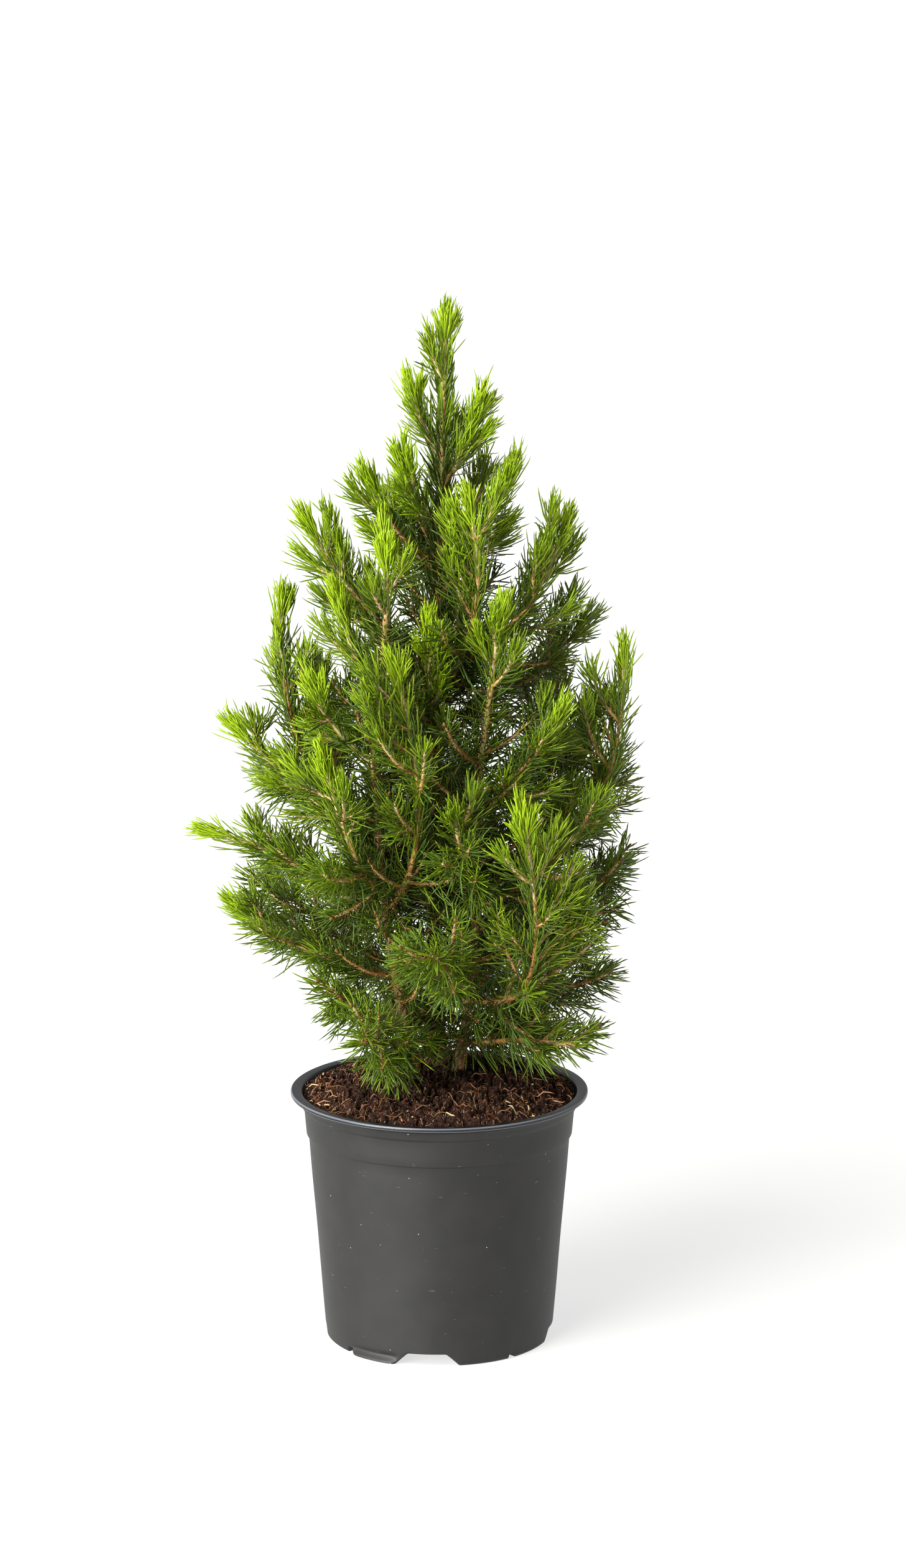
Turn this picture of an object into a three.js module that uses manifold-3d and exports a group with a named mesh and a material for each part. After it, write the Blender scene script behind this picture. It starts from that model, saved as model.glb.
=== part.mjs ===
// A dwarf white spruce in a round plastic nursery pot, in millimetres, +Z up, the front at -Y.
// The origin is on the underside of the pot, at its centre. Azimuths are in degrees round +Z, with
// 0 towards -Y (the front) and 90 towards +X (the right), seen from above.
import * as THREE from "three";
import { mergeVertices } from "three/addons/utils/BufferGeometryUtils.js";
import Module from "manifold-3d";

const wasm = await Module();
wasm.setup();

// ---- Driving dimensions ------------------------------------------------------------------------

const POT = {
  height: 111,
  rimRadius: 65.2,
  rimThickness: 2,
  flangeWidth: 4.7,
  collarTopRadius: 59.6,
  collarTop: 103.5,
  collarFootRadius: 58.3,
  collarFoot: 91.5,
  wallTopRadius: 57.3,
  wallFootRadius: 50.4,
  wallThickness: 1.2,
  floorUnderside: 5.6,
  footInnerRadius: 44,
  footCorner: 1.4,
  centrePadRadius: 13,
  segments: 44,
};
const FOOT_GAP = { count: 4, firstAzimuth: -6, halfWidth: 9.5, flareWidth: 6, depth: 16 };
const DRAIN_NOTCH = { offset: 45.5, width: 3.6, height: 2.4, depth: 16 };

const CLEARANCE = 0.3; // between pieces that touch
const SOIL = { edge: 109.6, shoulder: 113.6, plateau: 118, plateauRadius: 27, bump: 0.7 };
const GROUND = SOIL.plateau + CLEARANCE;

// Stems: points from the flat cut at ground level to the tip, evenly spaced in height. The foot
// flares out over the lowest FLARE_SHARE of the stem.
const FLARE_SHARE = 0.03;
const STEMS = [
  {
    name: "trunk",
    points: [[-1, 12, GROUND], [-2.2, 9, 191], [-2, 8, 263], [0.6, 4.5, 336], [1.8, 0.5, 408]],
    foot: 3.6, tip: 1, flare: 1.6, sides: 8, steps: 16,
  },
  {
    name: "stem_left",
    points: [
      [-11, 3, GROUND], [-19.6, -11, 170], [-25, -19.5, 222], [-26.4, -24.5, 274], [-22.6, -28, 320],
    ],
    foot: 2.3, tip: 1, flare: 0.9, sides: 6, steps: 13,
  },
  {
    name: "stem_right",
    points: [[8, 2, GROUND], [14, -6, 161], [16.3, -13.5, 204], [17, -21, 247], [21.5, -29, 290]],
    foot: 2.1, tip: 1, flare: 0.8, sides: 6, steps: 11,
  },
];

// Boughs: the stem they grow from, how far up it, and where they enter their foliage.
const BOUGH = { footRadius: 1.5, tipRadius: 1.1, bend: 0.55, sag: 0.3, sides: 6, steps: 6 };
const BOUGHS = [
  { name: "bough_left_low", on: "stem_left", along: 0.35, azimuth: -70, reach: 40, height: 198 },
  { name: "bough_left_front", on: "stem_left", along: 0.42, azimuth: -44, reach: 40, height: 209 },
  { name: "bough_left_high", on: "trunk", along: 0.32, azimuth: -98, reach: 32, height: 224 },
  { name: "bough_front", on: "stem_left", along: 0.37, azimuth: -19, reach: 38, height: 216 },
  { name: "bough_fork", on: "trunk", along: 0.57, azimuth: 39, reach: 22, height: 318 },
  { name: "bough_right_top", on: "trunk", along: 0.6, azimuth: 88, reach: 22, height: 305 },
  { name: "bough_right_high", on: "trunk", along: 0.27, azimuth: 98, reach: 36, height: 206 },
  { name: "bough_right_front", on: "stem_right", along: 0.2, azimuth: 40, reach: 46, height: 160 },
  { name: "bough_right_low", on: "stem_right", along: 0.08, azimuth: 64, reach: 27, height: 135 },
  { name: "bough_back_left", on: "trunk", along: 0.25, azimuth: -140, reach: 34, height: 202 },
  { name: "bough_back_right", on: "trunk", along: 0.3, azimuth: 140, reach: 34, height: 212 },
];

// Sprays, the masses of foliage: the limb they grow from (at its tip where no `along` is given),
// and where their leading shoot ends.
const SPRAYS = [
  { name: "spray_leader", on: "trunk", azimuth: 90, reach: 3, height: 446 },
  { name: "spray_top_left", on: "trunk", along: 0.93, azimuth: -95, reach: 12, height: 419 },
  { name: "spray_top_right", on: "trunk", along: 0.89, azimuth: 80, reach: 18, height: 413 },
  { name: "spray_top_back", on: "trunk", along: 0.84, azimuth: 172, reach: 19, height: 404 },
  { name: "spray_upper_left", on: "trunk", along: 0.76, azimuth: -88, reach: 31, height: 380 },
  { name: "spray_upper_front_left", on: "trunk", along: 0.83, azimuth: -55, reach: 20, height: 389 },
  { name: "spray_upper_right", on: "trunk", along: 0.74, azimuth: 92, reach: 31, height: 384 },
  { name: "spray_upper_back_left", on: "trunk", along: 0.72, azimuth: -152, reach: 33, height: 374 },
  { name: "spray_upper_back_right", on: "trunk", along: 0.78, azimuth: 138, reach: 31, height: 380 },
  { name: "spray_front_top", on: "bough_fork", azimuth: 28, reach: 27, height: 372 },
  { name: "spray_right_top", on: "bough_right_top", azimuth: 90, reach: 54, height: 361 },
  { name: "spray_left_top", on: "trunk", along: 0.63, azimuth: -86, reach: 56, height: 361 },
  { name: "spray_left_top_back", on: "trunk", along: 0.57, azimuth: -118, reach: 50, height: 340 },
  { name: "spray_back_top", on: "trunk", along: 0.61, azimuth: 176, reach: 48, height: 345 },
  { name: "spray_right_top_back", on: "trunk", along: 0.53, azimuth: 110, reach: 69, height: 316 },
  { name: "spray_front_left_top", on: "stem_left", along: 0.84, azimuth: -60, reach: 50, height: 334 },
  { name: "spray_stem_left", on: "stem_left", azimuth: -36, reach: 38, height: 352 },
  { name: "spray_stem_right", on: "stem_right", azimuth: 36, reach: 45, height: 328 },
  { name: "spray_centre_front", on: "trunk", along: 0.48, azimuth: -8, reach: 30, height: 322 },
  { name: "spray_left", on: "bough_left_high", azimuth: -90, reach: 67, height: 327 },
  { name: "spray_left_out", on: "stem_left", along: 0.56, azimuth: -88, reach: 87, height: 272 },
  { name: "spray_left_inner", on: "stem_left", along: 0.68, azimuth: -66, reach: 58, height: 292 },
  { name: "spray_left_front", on: "bough_left_front", azimuth: -44, reach: 70, height: 268 },
  { name: "spray_front", on: "bough_front", azimuth: -21, reach: 52, height: 306 },
  { name: "spray_front_centre", on: "stem_right", along: 0.5, azimuth: 6, reach: 62, height: 246 },
  { name: "spray_right_inner", on: "stem_right", along: 0.7, azimuth: 60, reach: 60, height: 284 },
  { name: "spray_right", on: "bough_right_high", azimuth: 94, reach: 80, height: 304 },
  { name: "spray_right_bright", on: "bough_right_front", azimuth: 25, reach: 81, height: 250 },
  { name: "spray_right_side", on: "stem_right", along: 0.45, azimuth: 68, reach: 74, height: 244 },
  { name: "spray_right_out", on: "trunk", along: 0.16, azimuth: 87, reach: 79, height: 214 },
  { name: "spray_left_low", on: "bough_left_low", azimuth: -84, reach: 99, height: 228 },
  { name: "spray_left_under", on: "stem_left", along: 0.22, azimuth: -81, reach: 88, height: 196 },
  { name: "spray_left_foot", on: "stem_left", along: 0.12, azimuth: -68, reach: 56, height: 164 },
  { name: "spray_front_foot", on: "stem_left", along: 0.08, azimuth: -28, reach: 68, height: 148 },
  { name: "spray_front_low", on: "stem_right", along: 0.28, azimuth: -2, reach: 78, height: 190 },
  { name: "spray_right_foot", on: "bough_right_low", azimuth: 62, reach: 68, height: 138 },
  { name: "spray_right_skirt", on: "trunk", along: 0.07, azimuth: 100, reach: 72, height: 160 },
  { name: "spray_back_left", on: "bough_back_left", azimuth: -132, reach: 72, height: 290 },
  { name: "spray_back_right", on: "bough_back_right", azimuth: 134, reach: 72, height: 300 },
  { name: "spray_back", on: "trunk", along: 0.38, azimuth: 180, reach: 68, height: 292 },
  { name: "spray_back_mid", on: "trunk", along: 0.21, azimuth: 178, reach: 84, height: 232 },
  { name: "spray_back_left_low", on: "trunk", along: 0.13, azimuth: -118, reach: 84, height: 196 },
  { name: "spray_back_right_low", on: "trunk", along: 0.11, azimuth: 138, reach: 80, height: 186 },
  { name: "spray_back_foot", on: "trunk", along: 0.05, azimuth: -164, reach: 68, height: 156 },
];

// A shoot is a slim three-sided core, each face of which stands out as one tooth of needles. Its
// curve bends at the share `bend` of the way (`tipBend` at a limb's tip), which lies low by `sag`.
const SHOOT = {
  coreRadius: 1.7, tipShare: 0.6, ringSpacing: 9.5, footRoom: 0.8, beyondTip: 9,
  bend: 0.6, sag: 0.35, tipBend: 0.45, measured: 12,
};
const TOOTH = {
  out: 8.5, forward: 9.5, tipOut: 4.5, tipForward: 11, tipFrom: 0.7, shares: [1, 0.7, 0.45],
};
// Twigs stand along the middle of their shoot, shorter towards its tip, and turn up as they go.
const TWIG = {
  coreRadius: 1.4, from: 0.12, to: 0.86, every: 8, scatter: 0.6,
  lowShare: 0.53, highShare: 0.21, vary: 0.3, shortest: 15, retry: 0.08,
  angle: 50, startAngle: 64, lift: 0.12, steps: 10, sunk: 3,
};
const SEAT_STEP = 0.1; // how finely a shoot's foot is slid up to its limb
const TURN = 137.5; // degrees round the shoot from one twig to the next
const FACES = 6; // round a core, and so the ways a twig can point
const FIRST_SEED = 11;
const OWN_SPACE = 0.4; // how much nearer a tooth is to its own leading shoot than to any other
const TWIG_SPACE = 3.2; // the same for a twig, and how far it stays from any limb
const LIMB_SPACE = 0.4; // how far a tooth stays from any limb
const LOWEST_TWIG = 126;

// The crown's radius at each height: no twig leaves it.
const CROWN = [
  [118, 60], [150, 74], [200, 86], [250, 84], [300, 76],
  [340, 62], [380, 38], [415, 15], [445, 11], [448, 0],
];

// ---- Shared helpers ----------------------------------------------------------------------------

const radians = THREE.MathUtils.degToRad;

/** A point at an azimuth and reach from the pot's axis, at a height. */
function around(azimuth, reach, height) {
  const a = radians(azimuth);
  return new THREE.Vector3(reach * Math.sin(a), -reach * Math.cos(a), height);
}

/** A repeatable row of numbers from 0 to 1. */
function seeded(seed) {
  let state = seed;
  return () => {
    state = (state * 1664525 + 1013904223) % 4294967296;
    return state / 4294967296;
  };
}

/** The geometry with only its places, shared corners merged. */
function joined(geometry) {
  geometry.deleteAttribute("normal");
  geometry.deleteAttribute("uv");
  return mergeVertices(geometry, 1e-3);
}

function solidOf(geometry) {
  const merged = joined(geometry);
  return new wasm.Manifold(
    new wasm.Mesh({
      numProp: 3,
      vertProperties: merged.attributes.position.array,
      triVerts: new Uint32Array(merged.index.array),
    }),
  );
}

function geometryOf(solid) {
  const mesh = solid.getMesh();
  const geometry = new THREE.BufferGeometry();
  geometry.setAttribute("position", new THREE.BufferAttribute(mesh.vertProperties, 3));
  geometry.setIndex(new THREE.BufferAttribute(mesh.triVerts, 1));
  const flat = geometry.toNonIndexed();
  flat.computeVertexNormals();
  return flat;
}

function meshOf(name, geometry, material) {
  const mesh = new THREE.Mesh(geometry, material);
  mesh.name = name;
  return mesh;
}

// ---- Pot ---------------------------------------------------------------------------------------

/** The pot's wall, floor, rolled rim and foot ring, turned in one piece. */
function potShell() {
  const inner = POT.wallThickness;
  const footRadius = POT.wallFootRadius - 0.4;
  const flangeEdge = POT.rimRadius - POT.flangeWidth;
  const lipFoot = POT.height - POT.rimThickness;
  const profile = [
    [0, 0],
    [POT.centrePadRadius, 0],
    [POT.centrePadRadius + 0.8, POT.floorUnderside],
    [POT.footInnerRadius, POT.floorUnderside],
    [POT.footInnerRadius + 0.6, 0],
    [footRadius - POT.footCorner, 0],
    [footRadius, POT.footCorner],
    [POT.wallFootRadius, POT.floorUnderside],
    [POT.wallTopRadius, POT.collarFoot - 0.8],
    [POT.collarFootRadius, POT.collarFoot + 0.4],
    [POT.collarTopRadius, POT.collarTop],
    [POT.collarTopRadius + 1.2, POT.collarTop + 3],
    [POT.rimRadius - 1.8, lipFoot - 0.4],
    [POT.rimRadius, lipFoot + 0.4],
    [POT.rimRadius, POT.height - 0.4],
    [POT.rimRadius - 0.5, POT.height],
    [flangeEdge, POT.height],
    [flangeEdge - 0.8, POT.height - 1],
    [POT.collarTopRadius - inner, POT.collarTop],
    [POT.wallTopRadius - inner, POT.collarFoot],
    [POT.wallFootRadius - inner, POT.floorUnderside + inner],
    [0, POT.floorUnderside + inner],
  ].map(([radius, height]) => new THREE.Vector2(radius, height));
  const shell = new THREE.LatheGeometry(profile, POT.segments);
  return shell.rotateX(Math.PI / 2);
}

/** A tapered block that opens one arch in the foot ring, wider at the ground. */
function footGap(azimuth) {
  const top = 2 * POT.wallFootRadius * Math.sin(radians(FOOT_GAP.halfWidth));
  const low = top + 2 * FOOT_GAP.flareWidth;
  const outline = new THREE.Shape();
  outline.moveTo(-low / 2, -1);
  outline.lineTo(low / 2, -1);
  outline.lineTo(top / 2, POT.floorUnderside - 0.01);
  outline.lineTo(-top / 2, POT.floorUnderside - 0.01);
  outline.closePath();
  const { depth } = FOOT_GAP;
  const block = new THREE.ExtrudeGeometry(outline, { depth, bevelEnabled: false });
  block.rotateX(Math.PI / 2);
  block.translate(0, -POT.footInnerRadius + depth / 2 + 1, 0);
  return block.rotateZ(radians(azimuth));
}

/** A small block that opens one drain notch in the foot ring. */
function drainNotch(azimuth) {
  const block = new THREE.BoxGeometry(DRAIN_NOTCH.width, DRAIN_NOTCH.depth, 2 * DRAIN_NOTCH.height);
  block.translate(0, -POT.footInnerRadius - 2, 0);
  return block.rotateZ(radians(azimuth));
}

function pot() {
  let solid = solidOf(potShell());
  for (let i = 0; i < FOOT_GAP.count; i++) {
    const azimuth = FOOT_GAP.firstAzimuth + (i * 360) / FOOT_GAP.count;
    solid = solid.subtract(solidOf(footGap(azimuth)));
    solid = solid.subtract(solidOf(drainNotch(azimuth + DRAIN_NOTCH.offset)));
  }
  return geometryOf(solid);
}

/** The peat that fills the pot, mounded towards the stems and flat under their feet. */
function soil() {
  const gap = POT.wallThickness + CLEARANCE;
  const profile = [
    [0, POT.floorUnderside + gap],
    [POT.wallFootRadius - gap, POT.floorUnderside + gap],
    [POT.wallTopRadius - gap, POT.collarFoot],
    [POT.collarTopRadius - gap, POT.collarTop],
    [POT.rimRadius - POT.flangeWidth - 1.3, SOIL.edge],
    [54, SOIL.shoulder - 1],
    [45, SOIL.shoulder + 1.2],
    [36, SOIL.plateau - 1.6],
    [SOIL.plateauRadius, SOIL.plateau],
    [0, SOIL.plateau],
  ].map(([radius, height]) => new THREE.Vector2(radius, height));
  const fill = joined(new THREE.LatheGeometry(profile, POT.segments));
  fill.rotateX(Math.PI / 2);
  const place = fill.attributes.position;
  for (let i = 0; i < place.count; i++) {
    const [x, y, z] = [place.getX(i), place.getY(i), place.getZ(i)];
    const radius = Math.hypot(x, y);
    if (z > SOIL.edge + 1 && radius > SOIL.plateauRadius + 1) {
      place.setZ(i, z + SOIL.bump * (Math.sin(0.31 * x + 1) + Math.cos(0.37 * y)));
    }
  }
  return geometryOf(solidOf(fill));
}

// ---- Limbs -------------------------------------------------------------------------------------

const STEPS_MEASURED = 24; // straight pieces that stand for a limb where a distance is taken

/** A limb's curve with its radius from foot to tip, measured along evenly. */
function limb(name, curve, radiusAt, sides, steps, level) {
  const points = [];
  const radii = [];
  for (let i = 0; i <= STEPS_MEASURED; i++) {
    points.push(curve.getPoint(i / STEPS_MEASURED));
    radii.push(radiusAt(i / STEPS_MEASURED));
  }
  return { name, curve, radiusAt, sides, steps, level, points, radii };
}

function stemLimb({ name, points, foot, tip, flare, sides, steps }) {
  const places = points.map((p) => new THREE.Vector3(...p));
  const curve = new THREE.CatmullRomCurve3(places, false, "catmullrom", 0.5);
  const radiusAt = (t) => foot + (tip - foot) * t + flare * Math.exp(-t / FLARE_SHARE);
  return limb(name, curve, radiusAt, sides, steps, true);
}

/** A bough leaves its stem low and turns up towards its tip. */
function boughLimb({ name, on, along, azimuth, reach, height }, stems) {
  const stem = stems.get(on);
  const root = stem.curve.getPoint(along);
  const tip = around(azimuth, reach, height);
  const middle = root.clone().lerp(tip, BOUGH.bend);
  middle.z -= BOUGH.sag * (tip.z - root.z);
  const cut = clearOf(stem, new THREE.QuadraticBezierCurve3(root, middle, tip), BOUGH.footRadius);
  const radiusAt = (t) => BOUGH.footRadius + (BOUGH.tipRadius - BOUGH.footRadius) * t;
  return limb(name, cut, radiusAt, BOUGH.sides, BOUGH.steps, false);
}

/** The part of a curve past where a round end of this radius first stands clear of its limb. */
function clearOf(parent, curve, radius) {
  const side = sideOf(curve);
  for (let t = 0; t < 1; t += 0.002) {
    const centre = curve.getPoint(t);
    const normal = curve.getTangent(t).cross(side);
    const spots = [centre];
    for (const sign of [1, -1]) {
      spots.push(centre.clone().addScaledVector(side, sign * radius));
      spots.push(centre.clone().addScaledVector(normal, sign * radius));
    }
    if (spots.every((spot) => gapTo(parent, spot) > CLEARANCE)) {
      const late = curve.v1.clone().lerp(curve.v2, t);
      return new THREE.QuadraticBezierCurve3(centre, late, curve.v2);
    }
  }
  throw new Error("a shoot never leaves the limb it grows from");
}

/** A closed round tube along a limb's curve, tapering, with flat ends; a stem's foot is cut level. */
function limbGeometry({ curve, radiusAt, sides, steps, level }) {
  const tube = new THREE.CylinderGeometry(1, 1, 1, sides, steps);
  const frames = curve.computeFrenetFrames(steps, false);
  const place = tube.attributes.position;
  for (let i = 0; i < place.count; i++) {
    const step = Math.round((place.getY(i) + 0.5) * steps);
    const t = curve.getUtoTmapping(step / steps);
    const spot = curve.getPoint(t);
    spot.addScaledVector(frames.normals[step], radiusAt(t) * place.getX(i));
    spot.addScaledVector(frames.binormals[step], -radiusAt(t) * place.getZ(i));
    if (level && step === 0) spot.z = GROUND;
    place.setXYZ(i, spot.x, spot.y, spot.z);
  }
  return geometryOf(solidOf(tube));
}

/** The distance from a point to a limb's surface. */
function gapTo({ points, radii }, spot) {
  let least = Infinity;
  for (let i = 0; i < points.length - 1; i++) {
    const [distance, share] = toSegment(spot, points[i], points[i + 1]);
    const radius = radii[i] + (radii[i + 1] - radii[i]) * share;
    least = Math.min(least, distance - radius);
  }
  return least;
}

/** The distance from a point to a straight segment, and the share along it of the nearest place. */
function toSegment(p, a, b) {
  const [dx, dy, dz] = [b.x - a.x, b.y - a.y, b.z - a.z];
  const dot = (p.x - a.x) * dx + (p.y - a.y) * dy + (p.z - a.z) * dz;
  const share = Math.min(1, Math.max(0, dot / (dx * dx + dy * dy + dz * dz)));
  const distance = Math.hypot(a.x + dx * share - p.x, a.y + dy * share - p.y, a.z + dz * share - p.z);
  return [distance, share];
}

// ---- Shoots and sprays -------------------------------------------------------------------------

/** The level direction across a shoot, the same all along it because its curve lies in one plane. */
function sideOf(curve) {
  const along = curve.v2.clone().sub(curve.v0);
  const side = along.cross(curve.v1.clone().sub(curve.v0));
  return side.normalize();
}

/** The leading shoot of a spray, from its limb to its tip. */
function leadingShoot({ on, along, azimuth, reach, height }, limbs) {
  const parent = limbs.get(on);
  const tip = around(azimuth, reach, height);
  if (along === undefined) {
    const heading = parent.curve.getTangent(1);
    const root = parent.curve.getPoint(1).addScaledVector(heading, CLEARANCE);
    const middle = root.clone().addScaledVector(heading, SHOOT.tipBend * root.distanceTo(tip));
    return { curve: new THREE.QuadraticBezierCurve3(root, middle, tip), foot: null };
  }
  const root = parent.curve.getPoint(along);
  const middle = root.clone().lerp(tip, SHOOT.bend);
  middle.z -= SHOOT.sag * Math.abs(tip.z - root.z);
  const whole = new THREE.QuadraticBezierCurve3(root, middle, tip);
  return { curve: clearOf(parent, whole, SHOOT.coreRadius + SHOOT.footRoom), foot: parent };
}

/** Whether a point lies in a spray's own space: nearer its leading shoot, and clear of every limb. */
function inOwnSpace(spot, own, leaders, limbs, margin, limbMargin) {
  const ownDistance = toCurve(spot, own.points) + margin;
  if (leaders.some((other) => other !== own && toCurve(spot, other.points) < ownDistance)) {
    return false;
  }
  return limbs.every((wood) => gapTo(wood, spot) > limbMargin);
}

function toCurve(spot, points) {
  let least = Infinity;
  for (let i = 0; i < points.length - 1; i++) {
    least = Math.min(least, toSegment(spot, points[i], points[i + 1])[0]);
  }
  return least;
}

function crownRadius(height) {
  const above = CROWN.findIndex(([level]) => level > height);
  if (above <= 0) return 0;
  const [low, lowRadius] = CROWN[above - 1];
  const [high, highRadius] = CROWN[above];
  return lowRadius + ((highRadius - lowRadius) * (height - low)) / (high - low);
}

/** Rings of three corners round a shoot's curve, each ring turned half a side on from the last. */
function coreRings(curve, coreRadius, count, startAngle) {
  const side = sideOf(curve);
  const rings = [];
  for (let i = 0; i <= count; i++) {
    const t = i / count;
    const centre = curve.getPoint(t);
    const normal = curve.getTangent(t).cross(side);
    const radius = coreRadius * (1 - (1 - SHOOT.tipShare) * t);
    rings.push(
      [0, 1, 2].map((corner) => {
        const a = startAngle + (2 * Math.PI * (corner + i / 2)) / 3;
        const spot = centre.clone().addScaledVector(side, radius * Math.cos(a));
        return spot.addScaledVector(normal, radius * Math.sin(a));
      }),
    );
  }
  return rings;
}

/** How many segments a shoot's core has. */
function segmentsOf(curve) {
  return Math.max(2, Math.round(curve.getLength() / SHOOT.ringSpacing));
}

/** The twigs of a spray: each grows out of one face of the leading shoot's core, by a seeded rule. */
function twigsOf(own, leaders, limbs, random) {
  const length = own.curve.getLength();
  const segments = segmentsOf(own.curve);
  const side = sideOf(own.curve);
  const count = Math.floor((length * (TWIG.to - TWIG.from)) / TWIG.every) + 1;
  const twigs = [];
  let turn = 360 * random();
  for (let i = 0; i < count; i++) {
    const place = TWIG.from + ((TWIG.to - TWIG.from) * (i + TWIG.scatter * random())) / count;
    const segment = Math.floor(place * segments);
    const t = (segment + 0.5) / segments;
    const share = THREE.MathUtils.lerp(TWIG.lowShare, TWIG.highShare, t);
    const varied = share * (1 + TWIG.vary * (random() - 0.5));
    const reach = Math.max(TWIG.shortest, length * varied);
    const root = own.curve.getPoint(t);
    const heading = own.curve.getTangent(t);
    const normal = heading.clone().cross(side);
    for (let attempt = 0; attempt < FACES; attempt++) {
      const face = (Math.round((turn * FACES) / 360) + attempt) % FACES;
      const a = radians((face * 360) / FACES);
      const out = side.clone().multiplyScalar(Math.cos(a)).addScaledVector(normal, Math.sin(a));
      const size = reach * (1 - TWIG.retry * attempt);
      const middle = stepFrom(root, heading, out, TWIG.startAngle, 0.5 * size);
      const tip = stepFrom(root, heading, out, TWIG.angle, size);
      tip.z += TWIG.lift * size;
      const curve = new THREE.QuadraticBezierCurve3(root, middle, tip);
      const clear = curve.getPoints(TWIG.steps).slice(TWIG.sunk).every((spot) => {
        const inside = Math.hypot(spot.x, spot.y) < crownRadius(spot.z) && spot.z > LOWEST_TWIG;
        return inside && inOwnSpace(spot, own, leaders, limbs, TWIG_SPACE, TWIG_SPACE);
      });
      const opposite = (face + FACES / 2) % FACES;
      const crowded = twigs.some((twig) => twig.segment === segment && twig.face !== opposite);
      if (clear && !crowded) {
        twigs.push({ curve, segment, face });
        break;
      }
    }
    turn += TURN;
  }
  return twigs;
}

function stepFrom(root, heading, out, angle, distance) {
  const a = radians(angle);
  const forward = distance * Math.cos(a);
  return root.clone().addScaledVector(heading, forward).addScaledVector(out, distance * Math.sin(a));
}

/** Slides each corner of the foot ring back along the shoot until it, or the middle, meets the limb. */
function seatOn(foot, curve, ring) {
  const back = curve.getTangent(0).negate().multiplyScalar(SEAT_STEP);
  for (const corner of ring) {
    const seat = corner.clone().add(back);
    const middle = curve.v0.clone().add(back);
    while (gapTo(foot, seat) > CLEARANCE && gapTo(foot, middle) > CLEARANCE) {
      corner.copy(seat);
      seat.add(back);
      middle.add(back);
    }
  }
}

/** The faces along a core between its rings, with teeth, or a twig where one grows out of a face. */
function coreFaces(rings, curve, twigs, isOwn) {
  const count = rings.length - 1;
  const faces = [];
  for (let i = 0; i < count; i++) {
    const [low, high] = [rings[i], rings[i + 1]];
    const t = (i + 0.5) / count;
    for (let k = 0; k < 3; k++) {
      const next = (k + 1) % 3;
      const sides = [[low[k], low[next], high[k]], [high[k], low[next], high[next]]];
      sides.forEach((corners, half) => {
        const face = (i + 2 * k + half + 1) % FACES;
        const twig = twigs.find((twig) => twig.segment === i && twig.face === face);
        if (twig) faces.push(...twigFaces(corners, half, twig));
        else faces.push(...tooth(corners, curve, t, isOwn));
      });
    }
  }
  const end = shootEnd(curve, isOwn);
  for (let k = 0; k < 3; k++) faces.push([rings[count][k], rings[count][(k + 1) % 3], end]);
  return faces;
}

/** The point that a shoot ends in: its last needles, as far out as there is room for them. */
function shootEnd(curve, isOwn) {
  const tip = curve.getPoint(1);
  const heading = curve.getTangent(1);
  const ends = TOOTH.shares.map((share) => tip.clone().addScaledVector(heading, share * SHOOT.beyondTip));
  return ends.find((end) => isOwn(end) && isOwn(end.clone().lerp(tip, 0.5))) ?? ends.at(-1);
}

/** A twig that grows out of one face of a core: its first ring is that face. */
function twigFaces(corners, half, { curve, isOwn }) {
  const odd = half === 0 ? 2 : 1; // the corner that lies on its own along the parent shoot
  const centre = corners[0].clone().add(corners[1]).add(corners[2]).divideScalar(3);
  const arm = corners[odd].clone().sub(centre);
  const side = sideOf(curve);
  const normal = curve.getTangent(0).cross(side);
  const startAngle = Math.atan2(arm.dot(normal), arm.dot(side)) - (2 * Math.PI * odd) / 3;
  const rings = coreRings(curve, TWIG.coreRadius, segmentsOf(curve), startAngle);
  return coreFaces([corners, ...rings.slice(1)], curve, [], isOwn);
}

/** One face of the core drawn out to a point, or left flat where there is no room for a tooth. */
function tooth([a, b, c], curve, t, isOwn) {
  const root = a.clone().add(b).add(c).divideScalar(3);
  const heading = curve.getTangent(t);
  const centre = curve.getPoint(t);
  const out = root.clone().sub(centre);
  out.addScaledVector(heading, -out.dot(heading)).normalize();
  const late = THREE.MathUtils.smoothstep(t, TOOTH.tipFrom, 1);
  const outward = THREE.MathUtils.lerp(TOOTH.out, TOOTH.tipOut, late);
  const forward = THREE.MathUtils.lerp(TOOTH.forward, TOOTH.tipForward, late);
  for (const share of TOOTH.shares) {
    const point = root.clone().addScaledVector(out, outward * share);
    point.addScaledVector(heading, forward * share);
    const clear = [a, b, c].every((corner) =>
      [0.1, 0.4, 0.7, 1].every((part) => isOwn(corner.clone().lerp(point, part))),
    );
    if (clear) return [[a, b, point], [b, c, point], [c, a, point]];
  }
  return [[a, b, c]];
}

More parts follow.
